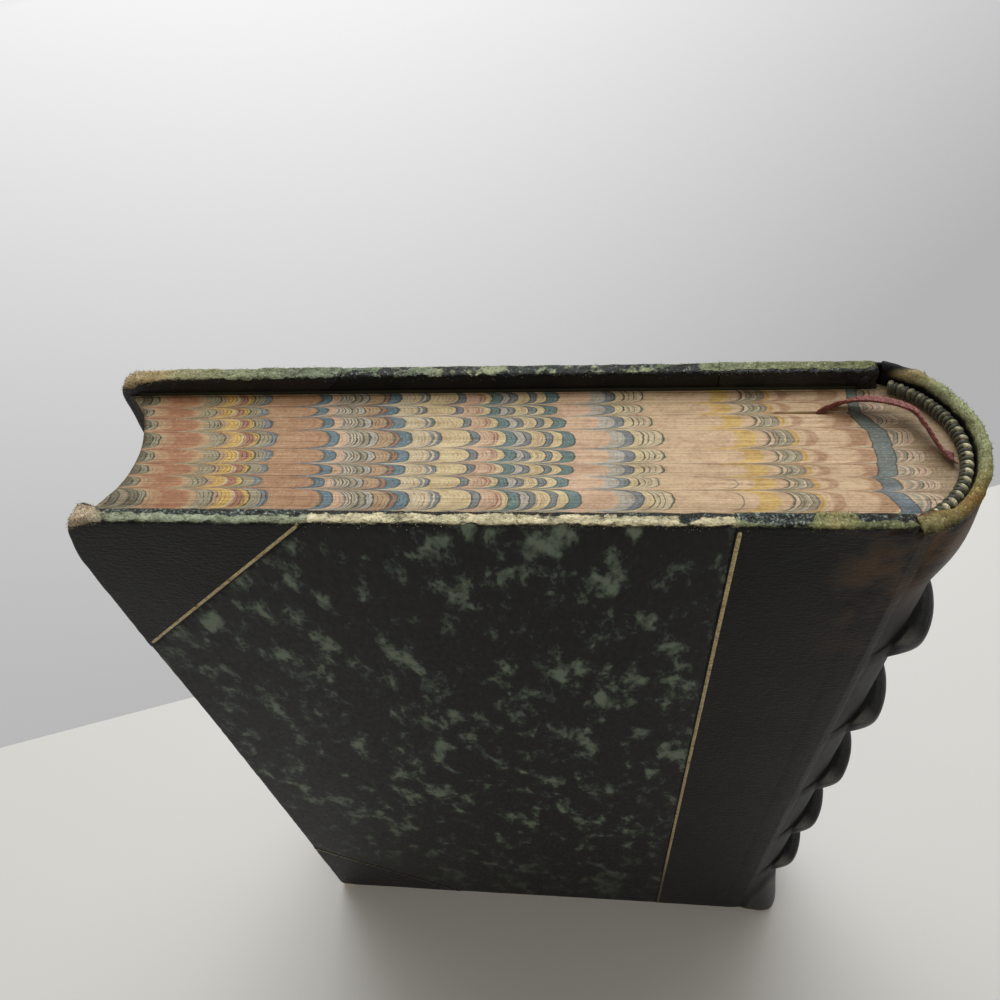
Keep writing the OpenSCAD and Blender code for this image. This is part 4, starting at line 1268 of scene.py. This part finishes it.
def ribbon_silk():
    """Dark red silk, faded along its two edges, with fine ribs across it and a few cords."""
    f = Finish("ribbon_silk", roughness=0.5, specular=0.35, pattern=True, Sheen_Weight=0.12)
    along, across, _ = f.parts(f.uv)
    ribs = f.math("SINE", f.times(along, 16.0))
    cord = f.math("SINE", f.plus(f.times(along, 6.0), f.times(across, 5.0)))
    age = f.noise(1.6, 3.0, 0.6, vector=f.uv)
    colour = f.mix(f.remap(age, 0.3, 0.7), tone("5e2a28"), tone("92524a"))
    colour = f.mix(f.remap(f.math("ABSOLUTE", across), 0.9, 1.5, 0.0, 0.7), colour, tone("9c5a52"))
    colour = f.mix(f.remap(cord, -0.2, 0.9, 0.0, 0.45), colour, tone("3a1718"))
    f.bump(ribs, 0.04, 0.8)
    f.bump(cord, 0.08, 0.8)
    return f.done(colour)


def ribbon():
    """The ribbon as a shallow trough: its height is 0.55 times (t squared less 0.4)."""
    way, side = ribbon_way()
    slope = unit(np.gradient(way, axis=0))
    side = unit(side - (side * slope).sum(1, keepdims=True) * slope)
    up = np.cross(slope, side)
    t = np.linspace(-1, 1, 13)[None, :, None]
    half_w = 1.5
    run = np.concatenate([[0], np.cumsum(np.linalg.norm(np.diff(way, axis=0), axis=1))])
    shown = ease(run, 149.5, 153.0)[:, None, None]
    pinch = 1 - 0.55 * np.exp(-((run - 151.0) / 2.2) ** 2)[:, None, None]
    trough = 0.55 * (t ** 2 - 0.4) * shown
    p = way[:, None] + side[:, None] * t * half_w * pinch + up[:, None] * trough
    p = p + shown * 0.06 * waves(p, 0.9, 31)[..., None] * up[:, None]
    uv = np.stack(np.broadcast_arrays(run[:, None], t[..., 0] * half_w), -1).reshape(-1, 2)
    return make_piece("ribbon", p.reshape(-1, 3), grid_faces(len(way), 13), ribbon_silk(), uv=uv)


marker = solid(ribbon(), 0.2)
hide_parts("ribbon_marker")
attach(marker, "book_block")

# %% [markdown]
# What is hidden in a closed book is finished plainly: dark green laid endpapers, because the
# gap beside the pages looks black, open lining cloth on the back, grey-brown millboard, hemp
# cord and a strong paper tube. The edges of the flyleaves are marbled with the other leaves.

# %% Hidden papers, boards and cords
def endleaf_paper():
    """Dark green laid paper, a little foxed."""
    f = Finish("endleaf", roughness=0.8, specular=0.2)
    fox = f.times(f.remap(f.noise(7.0, 4.0, 0.7), 0.6, 0.75), 0.5)
    laid = f.math("SINE", f.times(f.parts()[2], 5.2))
    colour = f.mix(f.remap(f.noise(40.0, 3.0), 0.3, 0.7), tone("2a2b21"), tone("37382b"))
    colour = f.mix(fox, colour, tone("1e1d16"))
    colour = f.mix(f.remap(laid, -1.0, 1.0, 0.0, 0.1), colour, tone("4a4a39"))
    f.bump(laid, 0.015, 0.5)
    f.bump(f.noise(0.4, 3.0, 0.7), 0.03, 0.6)
    return f.done(colour)


def fibrous(name, dark, light, size, depth):
    """Rough paper or board: fibres about size mm long, between a dark and a light tone."""
    f = Finish(name, roughness=0.85, specular=0.2)
    fibres = f.noise(size, 5.0, 0.7)
    stain = f.noise(size * 18, 3.0, 0.6, seed=2.0)
    colour = f.mix(f.remap(fibres, 0.3, 0.7), tone(dark), tone(light))
    colour = f.mix(f.remap(stain, 0.4, 0.8, 0.0, 0.4), colour, tone(dark), "MULTIPLY")
    f.bump(fibres, depth, 0.9)
    return f.done(colour)


def open_cloth():
    """Open weave: threads up and round the back, about one to a millimetre."""
    f = Finish("lining_cloth", roughness=0.85, specular=0.15)
    _, y, z = f.parts()
    warp = f.math("ABSOLUTE", f.math("SINE", f.times(z, 3.6)))
    weft = f.math("ABSOLUTE", f.math("SINE", f.times(y, 3.6)))
    thread = f.math("MAXIMUM", warp, weft)
    colour = f.mix(f.remap(thread, 0.55, 0.9), tone("7c705a"), tone("cfc3a6"))
    f.bump(thread, 0.12, 0.9)
    return f.done(colour)


plain_finishes = {
    "endpaper": endleaf_paper(), "flyleaf": leaf_finish, "lining": open_cloth(),
    "tube": fibrous("tube_paper", "8d7552", "a58c66", 0.8, 0.05),
    "cord": hemp,
    "board": fibrous("millboard", "6f6250", "9a8a70", 0.7, 0.12),
}
for node, key in (("rear_flyleaf", "flyleaf"), ("front_flyleaf", "flyleaf"), ("rear_endpaper", "endpaper"),
                  ("front_endpaper", "endpaper"), ("spine_lining", "lining"), ("spine_tube", "tube"),
                  ("head_core", "cord"), ("tail_core", "cord")):
    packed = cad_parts[node]
    if not packed.material_slots:
        packed.data.materials.append(plain_finishes[key])
    for slot in packed.material_slots:
        slot.material = plain_finishes[key]
print("packed nodes finished")

# %% [markdown]
# The boards inside the covers wear with them: at the blunt corner the millboard has gone soft,
# so each board is the same surface as its cover, drawn in by the thickness of the leather.

# %% Boards
for side, cover in ((-1, "rear"), (1, "front")):
    grid = cover_surface(side, 0.36, inner_margin=0, n=360)
    nu, nv = grid.shape[:2]
    quads = grid_faces(nu, nv, wrap_v=True)
    core = make_piece(cover + "_millboard", grid.reshape(-1, 3), quads, plain_finishes["board"])
    weld(core, gap=0.0001)
    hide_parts(cover + "_board")
    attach(core, cover + "_cover")

# %% [markdown]
# Where board, leather or suede has broken, single fibres stand up from it. They are short
# tapered hairs, each a closed tube of a few faces, rooted on the worn surfaces, and many
# hundreds of them together give the worn edges their fur.

# %% Loose fibres
def fibres(roots, lean, length, thick, seed):
    """Hairs as closed four-sided tubes: a point at s is root + length (s lean + s squared bend)."""
    rng = np.random.default_rng(seed)
    n = len(roots)
    way = unit(np.asarray(lean, float) + rng.normal(0, 0.45, (n, 3)))
    bend = rng.normal(0, 0.4, (n, 3))
    s = np.array([-0.35, 0.25, 0.65, 1.0])[None, :, None]
    reach = way[:, None] * s + bend[:, None] * s * np.abs(s)
    middle = roots[:, None] + np.asarray(length)[:, None, None] * reach
    a = unit(np.cross(way, unit(rng.normal(0, 1, (n, 3)))))
    b = np.cross(way, a)
    ring = np.array([[1, 0], [0, 1], [-1, 0], [0, -1]])
    taper = np.array([1, 0.9, 0.6, 0.25])[None, :, None, None] * thick
    round_way = ring[:, 0, None] * a[:, None, None] + ring[:, 1, None] * b[:, None, None]
    p = middle[:, :, None] + taper * round_way
    one = np.concatenate([grid_faces(4, 4, wrap_v=True, flip=True), [[3, 2, 1, 0], [12, 13, 14, 15]]])
    quads = (one[None] + 16 * np.arange(n)[:, None, None]).reshape(-1, 4)
    return p.reshape(-1, 3), quads


def fibre_finish(name, colours):
    """Fibres in the colours of the wear below them, some of them dull with dirt."""
    f = Finish(name, roughness=0.9, specular=0.15)
    along = along_book(f, colours)
    dull = f.remap(f.noise(1.1, 3.0, 0.7, seed=5.0), 0.42, 0.62)
    return f.done(f.mix(dull, f.mix(0.75, along, tone("4e5040"), "MULTIPLY"), along))


def rooted(pieces, count, keep, seed):
    """Random spots on the pieces' own surfaces, in mm, and the way out of the surface at each.

    keep tests a spot's x, y and z. Only surfaces that look upwards carry fibres.
    """
    spots, ways = [], []
    for piece in pieces:
        n = len(piece.data.vertices)
        co, out = np.empty(3 * n, np.float32), np.empty(3 * n, np.float32)
        piece.data.vertices.foreach_get("co", co)
        piece.data.vertex_normals.foreach_get("vector", out)
        spots.append(co.reshape(-1, 3) / MM)
        ways.append(out.reshape(-1, 3))
    spots, ways = np.concatenate(spots).astype(float), np.concatenate(ways).astype(float)
    kept = np.flatnonzero(keep(*spots.T) & (ways[:, 2] > 0.15))
    rng = np.random.default_rng(seed)
    pick = kept[rng.integers(0, len(kept), count)]
    drift = np.cross(ways[pick], rng.normal(0, 1, (count, 3)))
    return spots[pick] + 0.35 * drift - 0.06 * ways[pick], ways[pick], rng


def head_edge(x0, x1):
    """A test for the spots on a cover's worn head edge between two places along it."""
    def keep(x, y, z):
        return (z > board_h - 2.6) & (x > x0) & (x < x1) & (half_t - np.abs(y) < 3.4)
    return keep


def headcap(x, y, z):
    """A test for the spots on the worn headcap."""
    return (z > board_h - 4.0) & (y < 15.0) & (x > 62.0)


hair_t = 0.034
hair = {-1: fibre_finish("fibres_near", near_wear[3]), 1: fibre_finish("fibres_far", far_wear[3])}
beds = [(900, -77.5, 60.0, 0.24), (420, -78.5, -70.0, 0.34),
        (450, -33.0, 31.0, 0.3), (260, 45.5, 52.0, 0.34)]
for side, cover in ((-1, "rear"), (1, "front")):
    covers = [bpy.data.objects[cover + part] for part in ("_flap", "_head_corner", "_paper_side")]
    points, quads, n = [], [], 0
    for seed, (count, x0, x1, reach) in enumerate(beds[:4 if side < 0 else 2]):
        roots, out, rng = rooted(covers, count, head_edge(x0, x1), 40 + seed + side)
        p, q = fibres(roots, out, reach * (0.3 + 0.9 * rng.random(count)), hair_t, 70 + seed)
        points.append(p)
        quads.append(q + n)
        n += len(p)
    fur = make_piece(cover + "_edge_fibres", np.concatenate(points), np.concatenate(quads), hair[side])
    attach(fur, cover + "_cover")
    print(fur.name, len(fur.data.polygons), "faces")

cap_roots, cap_out, rng = rooted([spine], 1100, headcap, 7)
cap_colours = [(fore_x, "8f9068"), (60, "a08c5c"), (66, "93976c"), (back_x, "999d73")]
cap_hair = fibre_finish("fibres_cap", cap_colours)
cap_fibres = fibres(cap_roots, cap_out, 0.1 + 0.22 * rng.random(1100), hair_t, 8)
cap_fur = make_piece("headcap_fibres", *cap_fibres, cap_hair)
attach(cap_fur, "book_block")
print(cap_fur.name, len(cap_fur.data.polygons), "faces")

# %% [markdown]
# The book stands near the straight back edge of a pale table, with a pale wall far behind and
# below it. A large soft window above and behind the book lights its head, so the near cover
# is in its own warm shade. The wall is painted into the world only where directions point
# down past the table, so it doesn't add to the light on the head, the spine or the near cover.

# %% Table and light
def table_top():
    """A flat table cut along its straight back edge, which runs at a slant behind the book."""
    f = Finish("table", roughness=0.5, specular=0.25)
    mesh = bpy.data.meshes.new("table")
    corners = [(-1.5, -1.2, 0), (1.5, -1.2, 0), (1.5, 0.601, 0), (-1.5, -0.393, 0)]
    mesh.from_pydata(corners, [], [(0, 1, 2, 3)])
    table = bpy.data.objects.new("table", mesh)
    bpy.context.scene.collection.objects.link(table)
    mesh.materials.append(f.done(f.mix(f.noise(60.0), tone("dbdad7"), tone("d8d7d4"))))


def soft_light(name, place, towards, size, power, colour):
    """A square soft light at a place, turned towards a point."""
    data = bpy.data.lights.new(name, "AREA")
    data.shape, data.size, data.energy, data.color = "SQUARE", size, power, colour
    lamp = bpy.data.objects.new(name, data)
    lamp.location = place
    d = np.array(towards) - np.array(place)
    tilt = math.atan2(math.hypot(d[0], d[1]), -d[2])
    lamp.rotation_euler = (tilt, 0, math.atan2(d[1], d[0]) - math.pi / 2)
    bpy.context.scene.collection.objects.link(lamp)


def studio_world(air, strength):
    """Even soft light from above; below the horizon the wall, brightest up and to the left."""
    world = bpy.data.worlds.new("studio")
    world.use_nodes = True
    nodes, links = world.node_tree.nodes, world.node_tree.links
    toward = nodes.new("ShaderNodeTexCoord").outputs["Generated"]
    split = nodes.new("ShaderNodeSeparateXYZ")
    links.new(toward, split.inputs[0])

    def step(operation, a, b=0.0, c=0.0, clamp=False):
        """One step of arithmetic among the world's nodes."""
        n = nodes.new("ShaderNodeMath")
        n.operation, n.use_clamp = operation, clamp
        for socket, value in zip(n.inputs, (a, b, c)):
            if isinstance(value, float):
                socket.default_value = value
            else:
                links.new(value, socket)
        return n.outputs[0]

    x, _, z = split.outputs
    aside = step("POWER", step("ABSOLUTE", step("ADD", x, 0.25)), 2.0)
    level = step("MULTIPLY_ADD", z, 0.49, 1.144)
    level = step("SUBTRACT", level, step("MULTIPLY", aside, 0.44))
    level = step("POWER", step("MINIMUM", step("MAXIMUM", level, 0.70), 0.96), 2.25)
    below = step("MULTIPLY_ADD", z, -10.0, -2.3, clamp=True)
    mix = nodes.new("ShaderNodeMix")
    mix.data_type = "RGBA"
    wall = nodes.new("ShaderNodeCombineColor")
    for socket in wall.inputs:
        links.new(level, socket)
    links.new(below, mix.inputs["Factor"])
    mix.inputs[6].default_value = (*[c * strength for c in air], 1)
    links.new(wall.outputs[0], mix.inputs[7])
    links.new(mix.outputs[2], nodes["Background"].inputs[0])
    bpy.context.scene.world = world


table_top()
studio_world((1.0, 0.94, 0.85), 0.36)
soft_light("window", (-0.06, 0.6, 0.88), (0, 0, 0.2), 1.1, 11.7, (0.97, 1.0, 1.02))
